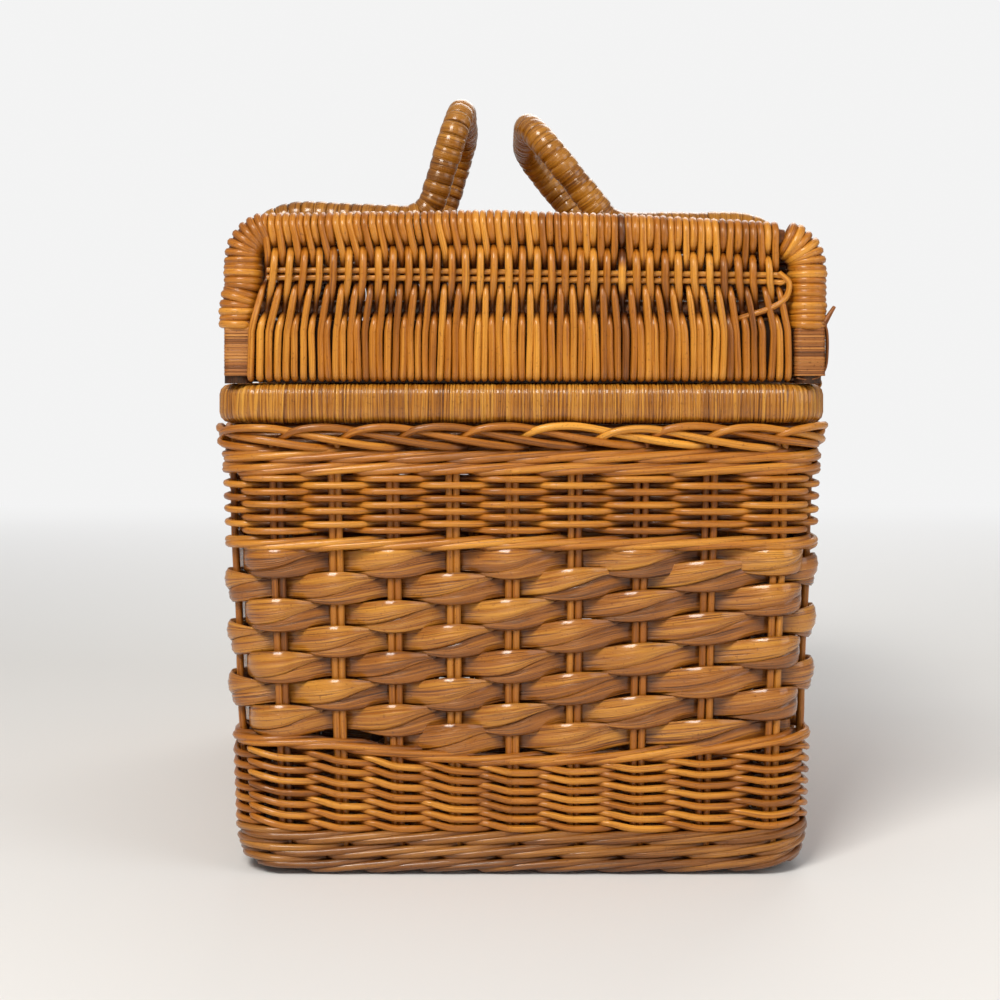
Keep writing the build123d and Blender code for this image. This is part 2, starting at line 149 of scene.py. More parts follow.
def paint(r, g, b):
    linear = [((v / 255 + 0.055) / 1.055) ** 2.4 if v > 10 else v / 255 / 12.92 for v in (r, g, b)]
    return (*linear, 1.0)


def addNode(tree, kind, inputs=None, **settings):  # an input is a value, a socket or a whole node
    node = tree.nodes.new(kind)
    for label, value in settings.items():
        setattr(node, label, value)
    for label, value in (inputs or {}).items():
        if isinstance(value, bpy.types.Node):
            value = value.outputs[0]
        if isinstance(value, bpy.types.NodeSocket):
            tree.links.new(value, node.inputs[label])
        else:
            node.inputs[label].default_value = value
    return node


finishes = dict(
    honeyRod=dict(dark=(90, 40, 2), mid=(174, 102, 18), light=(226, 156, 54), streak=0.65, rough=0.38, coat=0.4),
    wideSplint=dict(dark=(84, 38, 2), mid=(160, 92, 14), light=(206, 140, 44), streak=1.0, rough=0.34, coat=0.7),
    rimPeel=dict(dark=(110, 56, 4), mid=(176, 110, 26), light=(218, 156, 58), streak=1.0, rough=0.38, coat=0.55),
    baseRod=dict(dark=(54, 24, 4), mid=(122, 68, 18), light=(182, 120, 46), streak=0.7, rough=0.38, coat=0.45),
    handleCane=dict(dark=(80, 40, 2), mid=(150, 92, 14), light=(194, 132, 40), streak=0.8, rough=0.30, coat=0.7),
    legPeel=dict(dark=(84, 40, 10), mid=(156, 92, 38), light=(200, 136, 68), streak=1.0, rough=0.5, coat=0.15),
    stakeRod=dict(dark=(84, 38, 2), mid=(162, 92, 18), light=(204, 134, 44), streak=0.6, rough=0.42, coat=0.35),
)
cane = dict(
    varnishTint=(1.0, 0.84, 0.6, 1.0), coatRoughness=0.15, runScale=9.0, strandOffset=91.0, fibreScale=1.6,
    patchScale=34.0, fleckScale=900.0, grooveScale=4.2, toneShare=0.40, patchShare=0.30, fibreShare=0.26,
    rampEnds=(0.34, 0.84), rampMiddle=0.58, behindShade=0.16, pitShade=0.62, grooveDepth=0.6,
    bumpHeight=0.0006,
)


def caneFinish(name):
    look = finishes[name]
    streak = look["streak"]
    material = bpy.data.materials.new(name)
    material.use_nodes = True
    tree = material.node_tree
    tree.nodes.clear()

    def calc(kind, a, b):
        return addNode(tree, "ShaderNodeMath", {0: a, 1: b}, operation=kind)

    def stored(label, output="Fac"):
        return addNode(tree, "ShaderNodeAttribute", attribute_name=label).outputs[output]

    def noise(vector, scale, detail, roughness=0.5):
        inputs = {"Vector": vector, "Scale": scale, "Detail": detail, "Roughness": roughness}
        return addNode(tree, "ShaderNodeTexNoise", inputs)

    def ranged(value, fromMin, fromMax, toMin=0.0, toMax=1.0):
        inputs = {"Value": value, "From Min": fromMin, "From Max": fromMax, "To Min": toMin, "To Max": toMax}
        return addNode(tree, "ShaderNodeMapRange", inputs)

    split = addNode(tree, "ShaderNodeSeparateXYZ", {0: stored("across", "Vector")})
    run = calc("MULTIPLY", stored("run"), cane["runScale"])  # the fibres are long along the strand
    own = calc("ADD", split.outputs[1], calc("MULTIPLY", stored("grain"), cane["strandOffset"]))
    fibre = addNode(tree, "ShaderNodeCombineXYZ", {0: run, 1: split, 2: own})
    place = addNode(tree, "ShaderNodeTexCoord").outputs["Object"]
    fibres = ranged(noise(fibre, cane["fibreScale"], 4.0, 0.65), 0.34, 0.66)
    patch = noise(place, cane["patchScale"], 3.0)  # slow changes of stain and wear over the whole basket
    mixed = calc("MULTIPLY", stored("tone"), cane["toneShare"])
    mixed = calc("ADD", mixed, calc("MULTIPLY", patch, cane["patchShare"]))
    mixed = calc("ADD", mixed, calc("MULTIPLY", fibres, cane["fibreShare"] * streak))
    mixed = calc("ADD", mixed, cane["fibreShare"] * (1 - streak / 2))
    ramp = addNode(tree, "ShaderNodeValToRGB", {"Fac": mixed})
    for element, position, tint in zip(ramp.color_ramp.elements, cane["rampEnds"], ("dark", "light")):
        element.position = position
        element.color = paint(*look[tint])
    ramp.color_ramp.elements.new(cane["rampMiddle"]).color = paint(*look["mid"])

    diveShade = ranged(stored("lift"), 0.0, 1.0, cane["behindShade"])  # painted shade where a strand dives behind the others
    pits = ranged(noise(place, cane["fleckScale"], 2.0), 0.62, 0.74, 1.0, cane["pitShade"])
    grooves = ranged(noise(fibre, cane["grooveScale"], 2.0), 0.33, 0.45, 1 - cane["grooveDepth"] * streak)
    shade = calc("MULTIPLY", calc("MULTIPLY", diveShade, pits), grooves)
    green, blue = calc("POWER", shade, 1.25), calc("POWER", shade, 1.45)  # warmer where it is dark
    grey = addNode(tree, "ShaderNodeCombineColor", {0: shade, 1: green, 2: blue})
    deepen = addNode(tree, "ShaderNodeMix", {"Factor": 1.0, "A": ramp, "B": grey}, data_type="RGBA",
                     blend_type="MULTIPLY")
    gloss = ranged(fibres, 0.0, 1.0, look["rough"] - 0.1, look["rough"] + 0.16)
    bump = addNode(tree, "ShaderNodeBump", {"Strength": 0.4 * streak + 0.1, "Distance": cane["bumpHeight"],
                                            "Height": calc("ADD", fibres, grooves)})
    shader = addNode(tree, "ShaderNodeBsdfPrincipled", {
        "Base Color": deepen.outputs["Result"], "Roughness": gloss, "Normal": bump, "Coat Weight": look["coat"],
        "Coat Roughness": cane["coatRoughness"], "Specular Tint": cane["varnishTint"]})
    addNode(tree, "ShaderNodeOutputMaterial", {"Surface": shader})
    return material


materials = {name: caneFinish(name) for name in finishes}
print("finishes ready")


# strands swept along lines


def addObject(name, data):
    thing = bpy.data.objects.new(name, data)
    bpy.context.scene.collection.objects.link(thing)
    return thing


def newTree(name, inputs, result):  # a tree and the sockets of its inputs
    tree = bpy.data.node_groups.new(name, "GeometryNodeTree")
    for label, kind in inputs.items():
        tree.interface.new_socket(label, in_out="INPUT", socket_type="NodeSocket" + kind)
    tree.interface.new_socket(result, in_out="OUTPUT", socket_type="NodeSocketGeometry")
    return tree, addNode(tree, "NodeGroupInput").outputs


def store(tree, geometry, label, value, **settings):
    inputs = {"Geometry": geometry, "Name": label, "Value": value}
    return addNode(tree, "GeometryNodeStoreNamedAttribute", inputs, **settings)


def roundProfile(tree, sides):  # a ring of radius 1 that keeps its own places as "across"
    ring = addNode(tree, "GeometryNodeCurvePrimitiveCircle", {"Radius": 1.0, "Resolution": sides})
    position = addNode(tree, "GeometryNodeInputPosition")
    return store(tree, ring, "across", position, data_type="FLOAT_VECTOR", domain="POINT")


def storeRun(tree, curve):
    length = addNode(tree, "GeometryNodeSplineParameter").outputs["Length"]
    return store(tree, curve, "run", length, domain="POINT")


def endTree(tree, pieces, finish, result):
    real = addNode(tree, "GeometryNodeRealizeInstances", {"Geometry": pieces})
    soft = addNode(tree, "GeometryNodeSetShadeSmooth", {"Geometry": real})
    dressed = addNode(tree, "GeometryNodeSetMaterial", {"Geometry": soft, "Material": finish})
    addNode(tree, "NodeGroupOutput", {result: dressed})


def buildStrandTree():
    inputs = {"Lines": "Geometry", "Profile sides": "Int", "Thickness scale": "Float", "Finish": "Material"}
    tree, given = newTree("strandSweep", inputs, "Strands")
    line = addNode(tree, "GeometryNodeMeshToCurve", {"Mesh": given["Lines"]})
    thick = addNode(tree, "GeometryNodeInputNamedAttribute", {"Name": "thick"})
    scale = addNode(tree, "ShaderNodeMath", {0: thick, 1: given["Thickness scale"]}, operation="MULTIPLY")
    sweep = addNode(tree, "GeometryNodeCurveToMesh", {
        "Curve": storeRun(tree, line), "Profile Curve": roundProfile(tree, given["Profile sides"]),
        "Scale": scale, "Fill Caps": True})
    endTree(tree, sweep, given["Finish"], "Strands")
    return tree


strandTree = buildStrandTree()


def evaluated(name, mesh, tree, values):
    source = addObject(name + "_lines", mesh)
    modifier = source.modifiers.new("tree", "NODES")
    modifier.node_group = tree
    for socket in tree.interface.items_tree:
        if socket.name in values:
            modifier[socket.identifier] = values[socket.name]
    graph = bpy.context.evaluated_depsgraph_get()
    result = bpy.data.meshes.new_from_object(source.evaluated_get(graph), preserve_all_data_layers=True,
                                             depsgraph=graph)
    source.modifiers.remove(modifier)
    bpy.data.objects.remove(source)
    result.name = name
    return addObject(name, result)


# lift is painted shade: 1 keeps a strand's colour, lower values darken it where it lies deep or behind others
def strand(points, radius, tone=None, lift=1.0, closed=False):
    points = np.asarray(points, float)
    tone = 0.5 + 0.2 * rng.standard_normal() if tone is None else tone
    count = len(points)
    return dict(points=points, thick=np.broadcast_to(radius, count), closed=closed,
                tone=np.broadcast_to(tone, count), lift=np.broadcast_to(lift, count),
                grain=np.broadcast_to(rng.random(), count))


def storeOnPoints(mesh, values):
    for label, shares in values.items():
        joint = np.concatenate(shares).astype(np.float32)
        kind, field = ("FLOAT", "value") if joint.ndim == 1 else ("FLOAT_VECTOR", "vector")
        mesh.attributes.new(label, kind, "POINT").data.foreach_set(field, joint.ravel())


def sweepStrands(name, lines, finish, sides=8):
    points, edges, first = [], [], 0
    for line in lines:
        count = len(line["points"])
        points.append(line["points"] * mm)
        index = first + np.arange(count)
        pairs = np.stack([index, np.roll(index, -1)], axis=1)
        edges.append(pairs if line["closed"] else pairs[:-1])
        first += count
    mesh = bpy.data.meshes.new(name + "_lines")
    mesh.from_pydata(np.vstack(points).tolist(), np.vstack(edges).tolist(), [])
    labels = ("thick", "tone", "lift", "grain")
    storeOnPoints(mesh, {label: [line[label] for line in lines] for label in labels})
    return evaluated(name, mesh, strandTree, {"Profile sides": sides, "Thickness scale": mm,
                                              "Finish": materials[finish]})


peelRun, peelScale = 0.012, 0.6  # how the fibres lie on peel that is wound round a bar


def ribbonMesh(name, ribbons, finish):  # each ribbon's grid holds sections, corners and x y z
    points, faces, run, across, tone, lift, grain, first = [], [], [], [], [], [], [], 0
    for ribbon in ribbons:
        grid = np.asarray(ribbon["grid"], float)
        count, corners = grid.shape[:2]
        index = first + np.arange(count * corners).reshape(count, corners)
        here = index if ribbon["closed"] else index[:-1]
        there = np.roll(index, -1, axis=0) if ribbon["closed"] else index[1:]
        quads = np.stack([here, there, np.roll(there, -1, axis=1), np.roll(here, -1, axis=1)], axis=2)
        faces += quads.reshape(-1, 4).tolist()
        if not ribbon["closed"]:
            faces += [index[0].tolist(), index[-1][::-1].tolist()]
        points.append(grid.reshape(-1, 3) * mm)
        middle = grid.mean(axis=1)
        steps = np.linalg.norm(np.diff(middle, axis=0), axis=1)
        distance = np.concatenate([[0], np.cumsum(steps)]) * mm
        turn = np.linspace(0, 2 * np.pi, corners, endpoint=False)
        if ribbon.get("bound"):  # the fibres go round the bar, not along it
            run.append(np.tile(peelRun * np.sin(turn), count))
            ring = np.repeat(distance / mm, corners)
            across.append(np.stack([ring, 0 * ring, 0 * ring], axis=1) * peelScale)
        else:
            run.append(np.repeat(distance, corners))
            width = np.asarray(ribbon["width"], float)
            ring = np.stack([width, 0 * width, 0 * width], axis=1)
            across.append(np.tile(ring, (count, 1)))
        shade = np.asarray(ribbon["tone"], float).reshape(-1, 1)
        tone.append(np.broadcast_to(shade, (count, corners)).ravel())
        grain.append(np.full(count * corners, rng.random()))
        # a ribbon's lift is painted shade, given per section or per corner
        shade = np.asarray(ribbon.get("lift", 1.0), float)
        if shade.ndim < 2:
            shade = shade.reshape(-1, 1)
        lift.append(np.broadcast_to(shade, (count, corners)).ravel())
        first += count * corners
    mesh = bpy.data.meshes.new(name)
    mesh.from_pydata(np.vstack(points).tolist(), [], faces)
    storeOnPoints(mesh, dict(run=run, tone=tone, lift=lift, grain=grain, across=across))
    mesh.polygons.foreach_set("use_smooth", [True] * len(mesh.polygons))
    mesh.materials.append(materials[finish])
    mesh.update()
    return addObject(name, mesh)


def settle(piece, body, nodes):
    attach(piece, body)
    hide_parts(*nodes)
    print(piece.name, len(piece.data.polygons), "faces")


# bands of rods round the wall

rods = dict(front=1.5, back=6.9)  # how deep a rod lies in front of the stakes and behind them


def loopDistances(loops, steps=8):
    return np.arange(0, loops * basket["stakeCount"] * steps) / steps * stakePitch


def rowWander(along, size):  # a slow unevenness that closes on itself
    turn = 2 * np.pi * along / aroundLength
    a, b, c = rng.random(3) * 6.28
    return size * (np.sin(3 * turn + a) + 0.6 * np.sin(7 * turn + b) + 0.4 * np.sin(13 * turn + c)) / 1.6


def rodDepth(behind):
    return rods["front"] + (rods["back"] - rods["front"]) * behind


def waleRound(z, radius, rise, start=0.0, climb=0.0):  # three rods, each in front of two pairs and behind one
    t = loopDistances(3)
    u = np.mod((t / stakePitch + 0.5) / 3 + start, 1)
    behind = smooth(0.64, 0.80, u) * (1 - smooth(0.88, 1.0, u))
    early = 1 - smooth(0.0, 0.12, u)
    late = smooth(0.45, 0.66, u)
    depth = rodDepth(behind) + 0.7 * early + 1.2 * late * (1 - behind)
    height = z + rise * np.interp(u, [0, 0.72, 0.86, 1.0], [-0.5, 0.5, 0.0, -0.5]) + rowWander(t, 0.22)
    height = height + climb * cornerRise(t)
    shade = 1 - 0.85 * behind - 0.4 * late * (1 - behind) - 0.45 * early
    thick = radius * (1 - 0.14 * behind + 0.04 * np.sin(t / 41.0)) * (1 + 0.08 * farSide(t))
    tone = 0.5 + 0.16 * np.sin(t / 97.0 + rng.random() * 6) + 0.1 * rng.standard_normal()
    return strand(wallPoints(t + stakeShift(t), depth, height), thick, tone, shade, closed=True)


def slowTone(middle, along):
    return np.clip(middle + 0.14 * np.sin(along + rng.random() * 6) + 0.1 * rng.standard_normal(), 0, 1)


def pairedRow(share, radius):  # two rods that twist between the stakes
    lines = []
    for half in (0.0, 0.5):
        t = loopDistances(1, 10)
        u = np.mod(t / stakePitch / 2 + 0.25 + half, 1)
        behind = smooth(0.50, 0.66, u) * (1 - smooth(0.84, 1.0, u))
        depth = rodDepth(behind) + 0.9 * smooth(0.36, 0.5, u) * (1 - behind)
        climb = 1.9 - 2.35 * smooth(-0.03, 0.26, u) + 2.35 * smooth(0.48, 1.0, u)
        height = paired["low"] + (lowerTop(t) - paired["low"]) * paired["reach"] * share
        height = height + climb + rowWander(t, 0.16) + 2.2 * (1 - share) ** 1.5 * cornerRise(t)
        shade = 1 - 0.85 * behind - 0.35 * smooth(0.38, 0.5, u) * (1 - behind)
        tip = np.exp(-(np.minimum(u, 1 - u) / 0.08) ** 2)
        thick = radius * (1.02 - 0.2 * tip - 0.12 * behind) * (1 + 0.12 * farSide(t))
        tone = slowTone(0.5, t / 61.0)
        lines.append(strand(wallPoints(t + stakeShift(t), depth, height), thick, tone, shade, closed=True))
    return lines


def fineRow(z, radius, parity):  # one rod, in front of a pair and behind the next
    t = loopDistances(1, 7)
    wave = np.cos(np.pi * (t / stakePitch + parity))
    behind = smooth(-0.2, -0.8, wave)
    depth = rodDepth(smooth(0.62, -0.9, wave))
    height = z + rowWander(t, 0.2)
    thick = radius * (1 + 0.05 * wave - 0.16 * behind) * (1 + 0.08 * farSide(t))
    tone = slowTone(0.55, t / 53.0)
    return strand(wallPoints(t + stakeShift(t), depth, height), thick, tone, 1 - 0.85 * behind, closed=True)


base = dict(rounds=3, low=3.684, pitch=5.2, radius=1.48, rise=4.2, stagger=0.21, climb=3.2, climbLess=0.4)
lines = [waleRound(base["low"] + base["pitch"] * k, base["radius"], base["rise"], base["stagger"] * k,
                   base["climb"] - base["climbLess"] * k) for k in range(base["rounds"])]
settle(sweepStrands("baseWaleRods", lines, "baseRod"), "basket", ["base_wale"])

paired = dict(rows=7, low=17.6, reach=0.80, radius=1.32, waleRadius=1.42, waleRise=3.0, waleStart=0.1)
lines = []
for row in range(paired["rows"]):
    lines += pairedRow(row / (paired["rows"] - 1), paired["radius"])
lines.append(waleRound(lowerTop(loopDistances(3)) - 0.9, paired["waleRadius"], paired["waleRise"],
                       paired["waleStart"]))
settle(sweepStrands("pairedRods", lines, "honeyRod"), "basket", ["lower_weave"])

fine = dict(rows=9, low=129.4, pitch=2.44, radius=1.27, middleWale=(124.6, 1.5, 3.4, 0.3),
            upperWales=((152.9, 1.52, 3.6, 0.0), (157.6, 1.52, 3.8, 0.5)))  # height, radius, rise and start
lines = [waleRound(*fine["middleWale"])]
lines += [fineRow(fine["low"] + k * fine["pitch"], fine["radius"], k) for k in range(fine["rows"])]
lines += [waleRound(*wale) for wale in fine["upperWales"]]
settle(sweepStrands("fineRods", lines, "honeyRod"), "basket", ["upper_weave"])


# stakes

stake = dict(low=3.0, high=164.0, depth=4.2, radius=1.4, pairGap=1.39, lift=0.92)
lines = []
for k in range(basket["stakeCount"]):
    for side in (-1, 1):
        z = np.linspace(stake["low"], stake["high"], 18)
        s = k * stakePitch + side * stake["pairGap"] + 0.12 * np.sin(z / 14 + k + side)
        depth = stake["depth"] + 0.25 * np.sin(z / 9.0 + k)
        # the stakes stand behind the rods and take a little painted shade
        lines.append(strand(wallPoints(s + stakeShift(s), depth, z), stake["radius"], None, stake["lift"]))
settle(sweepStrands("stakeRods", lines, "stakeRod"), "basket", ["stakes"])


# wide twisted splints

wide = dict(rows=7, top=117.4, pitch=9.95, narrow=3.75, tall=6.4, thick=1.0, front=1.7, back=7.3, perFloat=20,
            bulge=1.5, ceiling=122.9, lastRow=50.2, lastStart=-52.0, lastEnd=104.0, closer=0.22, topClimb=0.2,
            lastClimb=0.45)
leafFront = ((0.0, 0.0), (0.07, 0.42), (0.2, 0.78), (0.36, 0.97), (0.52, 1.0), (0.68, 0.9), (0.84, 0.6),
             (0.95, 0.25), (1.0, 0.0))  # share of the height, share of the bulge
leafBack = (0.82, 0.5, 0.18)
leafHollows = (0, 0.1, -0.07, 0.06, -0.08, 0.09, -0.06, 0.05, 0)  # the split cane's long hollows
leafWidth = 3.8


def wideRow(row, t, middle, closed):  # a split cane that doubles on itself, in front of every second pair
    shift = 0.5 if row % 2 == 0 else 0.0  # the top row is in front of the middle pair
    phase = t / stakePitch / 2 + shift
    u = np.mod(phase, 1)
    number = np.floor(phase).astype(int)
    swell = 0.5 - 0.5 * np.cos(2 * np.pi * u)
    if closed:
        middle = middle + rowWander(t, 0.25)
    floats = basket["stakeCount"]
    jitter = (rng.random((6, floats)) - 0.5)[:, number % floats]
    half = wide["narrow"] + (wide["tall"] + 0.7 * jitter[3] - wide["narrow"]) * swell + 1.3 * farSide(t)
    high = np.minimum(middle + half, wide["ceiling"])
    low = middle - half
    first = number % 2 == 0  # this turn of the splint is the upper leaf of the float
    crease = np.interp(u, [0, 0.12, 0.34, 0.55, 0.78, 0.92, 1.0], [-1.0, -0.96, -0.55, -0.15, 0.5, 0.95, 1.0])
    crease = np.clip(crease + 0.3 * jitter[0] * swell, -1, 1)
    creaseZ = (high + low) / 2 + crease * (high - low) / 2
    lower = np.where(first, creaseZ - 0.2, low)
    upper = np.where(first, high, np.minimum(creaseZ + 1.7 * swell, high))
    centre = (wide["front"] + wide["back"]) / 2 + (wide["back"] - wide["front"]) / 2 * np.cos(2 * np.pi * u)
    centre = centre + np.where(first, -0.35, 0.55) * swell + 0.5 * jitter[1] * swell
    span = np.maximum(upper - lower, 0.5)
    bulge = wide["bulge"] * swell * np.clip(span / 9, 0, 1)
    thick = wide["thick"] * np.clip(span / 3, 0.35, 1)
    sections = []
    for (h, crown), hollow in zip(leafFront, leafHollows):
        depth = centre - bulge * crown - thick / 2 + (hollow * 1.6 + 0.12 * jitter[4]) * swell * (0 < h < 1)
        sections.append(wallPoints(t + stakeShift(t), depth, lower + span * h))
    for h in leafBack:
        sections.append(wallPoints(t + stakeShift(t), centre + thick / 2, lower + span * h))
    tones = 0.5 + 0.42 * jitter[2] + np.where(first, 0.14, -0.14) * swell
    # painted shade: the lower leaf darkens towards its top under the upper leaf's crease, the back corners are
    # darker, and both leaves darken towards the narrow ends
    upperLeafShade = np.array([0.8, 1, 1, 1, 1, 1, 1, 0.9, 0.7, 0.5, 0.4, 0.5])
    lowerLeafShade = np.array([0.7, 0.9, 1, 1, 1, 0.9, 0.6, 0.3, 0.2, 0.3, 0.4, 0.5])
    shade = np.where(first[:, None], upperLeafShade, 1 - (1 - lowerLeafShade) * smooth(0.04, 0.2, swell)[:, None])
    shade = shade * (0.5 + 0.5 * smooth(0.0, 0.3, swell))[:, None]
    widths = [h * leafWidth for h, _ in leafFront] + [3.2, 1.9, 0.7]
    return dict(grid=np.stack(sections, axis=1), closed=closed, tone=np.clip(tones, 0, 1), lift=shade,
                width=widths)


t = np.arange(0, basket["stakeCount"], 1 / wide["perFloat"]) * 2 * stakePitch  # two turns of the wall
ribbons = []
for row in range(wide["rows"]):
    here = t + (stakePitch if row % 2 == 0 else 0.0)  # each loop starts where it is behind a pair
    middle = wide["top"] - row * wide["pitch"] + rowLift(here) * (wide["topClimb"] if row == 0 else 1.0)
    away = smooth(110, 150, abs(fromFrontMiddle(here)))
    middle = middle + away * wide["closer"] * row  # a little closer together on the other sides
    ribbons.append(wideRow(row, here, middle, True))
for turn in (0, 1):  # the last row fills the sag in the front only
    t = np.arange(wide["lastStart"], wide["lastEnd"], 2 * stakePitch / wide["perFloat"]) + turn * aroundLength
    ribbons.append(wideRow(wide["rows"], t, wide["lastRow"] + wide["lastClimb"] * rowLift(t), False))
settle(ribbonMesh("wideSplints", ribbons, "wideSplint"), "basket", ["wide_weave"])


# rolled border

border = dict(low=160.7, high=168.3, radius=1.5, innerRadius=1.6,
              inner=((159.6, 6.6), (162.4, 6.4), (165.2, 6.8), (168.0, 6.2)))  # height and depth of each
borderHook = [(-0.04, 5.5, 0.35), (0.07, 2.2, 0.46), (0.26, -0.5, 0.78), (0.55, -1.0, 0.98), (0.9, -0.6, 1.0),
              (1.25, 0.6, 0.84), (1.65, 0.5, 0.58), (2.05, -0.1, 0.36), (2.5, 0.2, 0.14), (2.85, 2.0, 0.03),
              (3.05, 5.0, 0.0)]  # stakes along, depth, share of the height
lines = []
for k in range(basket["stakeCount"]):
    path = curveThrough(borderHook, 34)
    drift = (0.35 * rng.standard_normal(), 0.05 * rng.standard_normal())
    s = (k + path[:, 0] + 0.06 * rng.standard_normal()) * stakePitch
    z = border["low"] + (border["high"] - border["low"]) * (path[:, 2] + drift[1])
    # painted shade: each hook darkens as it goes deeper into the border
    lines.append(strand(wallPoints(s, path[:, 1] + drift[0] * 0.6, z), border["radius"], None,
                        1 - 0.8 * smooth(1.2, 4.5, path[:, 1])))
for z, depth in border["inner"]:  # the inner strands behind the hooks, kept dark with painted shade
    t = loopDistances(1)
    points = wallPoints(t, depth + 0.3 * np.sin(t / 9), z + rowWander(t, 0.2))
    lines.append(strand(points, border["innerRadius"], None, 0.2, True))
settle(sweepStrands("borderRods", lines, "honeyRod"), "basket", ["border"])


# bound rim

rim = dict(low=169.9, high=184.4, thick=8.0, strip=1.4, ridge=0.22, edge=3.9)


def roundedSection(halfWide, halfHigh, edge, corners=3):
    points = []
    for cx, cz, begin in ((1, 1, 0), (-1, 1, 90), (-1, -1, 180), (1, -1, 270)):
        for k in range(corners + 1):
            a = math.radians(begin + 90 * k / corners)
            points.append((cx * (halfWide - edge) + edge * math.cos(a),
                           cz * (halfHigh - edge) + edge * math.sin(a), math.cos(a), math.sin(a)))
    return np.array(points)


def boundBar(distances, place, section, strip, ridge):
    count = max(4, int(round((distances[1] - distances[0]) / strip)))
    widths = strip * (0.6 + 0.8 * rng.random(count))
    shares = np.concatenate([[0], np.cumsum(widths)]) / widths.sum()
    edges = distances[0] + shares * (distances[1] - distances[0])
    rings, tones, lifts = [], [], []
    for k in range(count):
        tone = np.clip(0.5 + 0.15 * rng.standard_normal(), 0, 1)
        swell = ridge * (0.5 + 1.1 * rng.random())
        slant = 0.12 * rng.standard_normal() * strip
        # painted shade at both edges of each strip, where it meets the next
        seamShade = 0.3 + 0.6 * rng.random()
        for f, rise, lift in ((0.05, -0.4, seamShade), (0.28, 0.8, 1.0), (0.72, 0.85, 1.0), (0.95, -0.3, seamShade)):
            rings.append((edges[k] + (edges[k + 1] - edges[k]) * f, swell * rise, slant))
            tones.append(tone)
            lifts.append(lift)
    grid = np.zeros((len(rings), len(section), 3))
    for i, (distance, rise, slant) in enumerate(rings):
        across = section[:, 0] + section[:, 2] * rise
        up = section[:, 1] + section[:, 3] * rise
        grid[i] = place(distance + slant * section[:, 1] / abs(section[:, 1]).max(), across, up)
    return grid, np.array(tones), np.array(lifts)


section = roundedSection(rim["thick"] / 2, (rim["high"] - rim["low"]) / 2, rim["edge"])
rimMiddle = (rim["low"] + rim["high"]) / 2


def rimPlace(along, out, up):
    return wallPoints(along, rim["thick"] / 2 - out, 0 * along + rimMiddle + up)


grid, tones, lifts = boundBar((0, aroundLength), rimPlace, section, rim["strip"], rim["ridge"])
rimRibbon = dict(grid=grid, closed=True, tone=tones, lift=lifts, bound=True)
settle(ribbonMesh("rimBinding", [rimRibbon], "rimPeel"), "basket", ["rim_hoop"])


# woven base

mat = dict(halfX=100.0, halfY=159.0, pitch=2.95, radius=1.2, middle=2.0, margin=1.5, corner=12.0, wave=0.72,
           stickReach=70.85, sticks=7)
stickPitch = 2 * mat["stickReach"] / (mat["sticks"] - 1)
lines = []
count = int(2 * (mat["halfY"] - mat["margin"]) / mat["pitch"])
for k in range(count):
    y = -mat["halfY"] + mat["margin"] + (k + 0.5) * mat["pitch"]
    past = max(0.0, abs(y) - (mat["halfY"] - mat["corner"]))
    rounding = mat["corner"] - math.sqrt(max(0.0, mat["corner"] ** 2 - past ** 2))
    reach = mat["halfX"] - 1.3 - rounding
    x = np.linspace(-reach, reach, 28)
    wave = np.cos(np.pi * (x + mat["stickReach"]) / stickPitch) * (1 if k % 2 else -1)
    points = np.stack([x, 0 * x + y + 0.1 * wave, mat["middle"] + mat["wave"] * wave], axis=1)
    # painted shade where the strand dips under a stick
    lines.append(strand(points, mat["radius"], None, 0.75 + 0.2 * wave))
settle(sweepStrands("baseWeave", lines, "baseRod", 6), "basket", ["base_mat"])


# the lid

lid = dict(height=249.4, bottom=185.1, halfX=113.0, halfY=170.5, shoulder=17.5, rod=13.4, railTop=208.6,
           railThick=7.0, strandPitch=2.79)


def archFrame(distance, inset):  # from the right rail's foot over the top to the left rail's foot
    cz = lid["height"] - lid["shoulder"]
    cx = lid["halfX"] - lid["shoulder"]
    side = cz - lid["bottom"]
    arc = lid["shoulder"] * math.pi / 2
    knots = np.cumsum([0, side, arc, 2 * cx, arc, side])
    angle = np.interp(distance, knots, np.radians([0, 0, 90, 90, 180, 180]))
    x = np.interp(distance, knots, [cx, cx, cx, -cx, -cx, -cx])
    z = np.interp(distance, knots, [lid["bottom"], cz, cz, cz, cz, lid["bottom"]])
    reach = lid["shoulder"] - inset
    return x + reach * np.cos(angle), z + reach * np.sin(angle), knots[-1]


def lidSag(x, z):  # the top stands a little high in the middle and low at the right
    drop = np.interp(x, [-113, -85, -10, 40, 100, 116], [0.0, 0.3, 1.4, -0.2, -3.2, -3.4])
    return drop * smooth(212, 240, np.asarray(z, float))


def lidSpread(x, z):  # the strands draw together at the middle rods
    middle = np.interp(x, [-100, -60, -20, 20, 60, 100], [3.2, 2.4, 1.2, -0.4, -2.6, -2.9])
    upper = np.interp(x, [-100, -60, -20, 20, 60, 100], [1.0, -0.5, -0.6, -0.8, -2.6, -2.4])
    weight = np.interp(z, [204, 224, 233, 244], [0, 1, 1, 0])
    left = np.interp(x, [-100, -76], [1, 0]) * np.interp(z, [190, 206, 224, 240], [-4.4, -4.0, -2.2, 0])
    right = np.interp(x, [80, 100], [0, 1]) * np.interp(z, [190, 206, 224, 240], [2.4, 2.2, 0.8, 0])
    return middle * weight + upper * np.interp(z, [233, 244], [0, 1]) + left + right


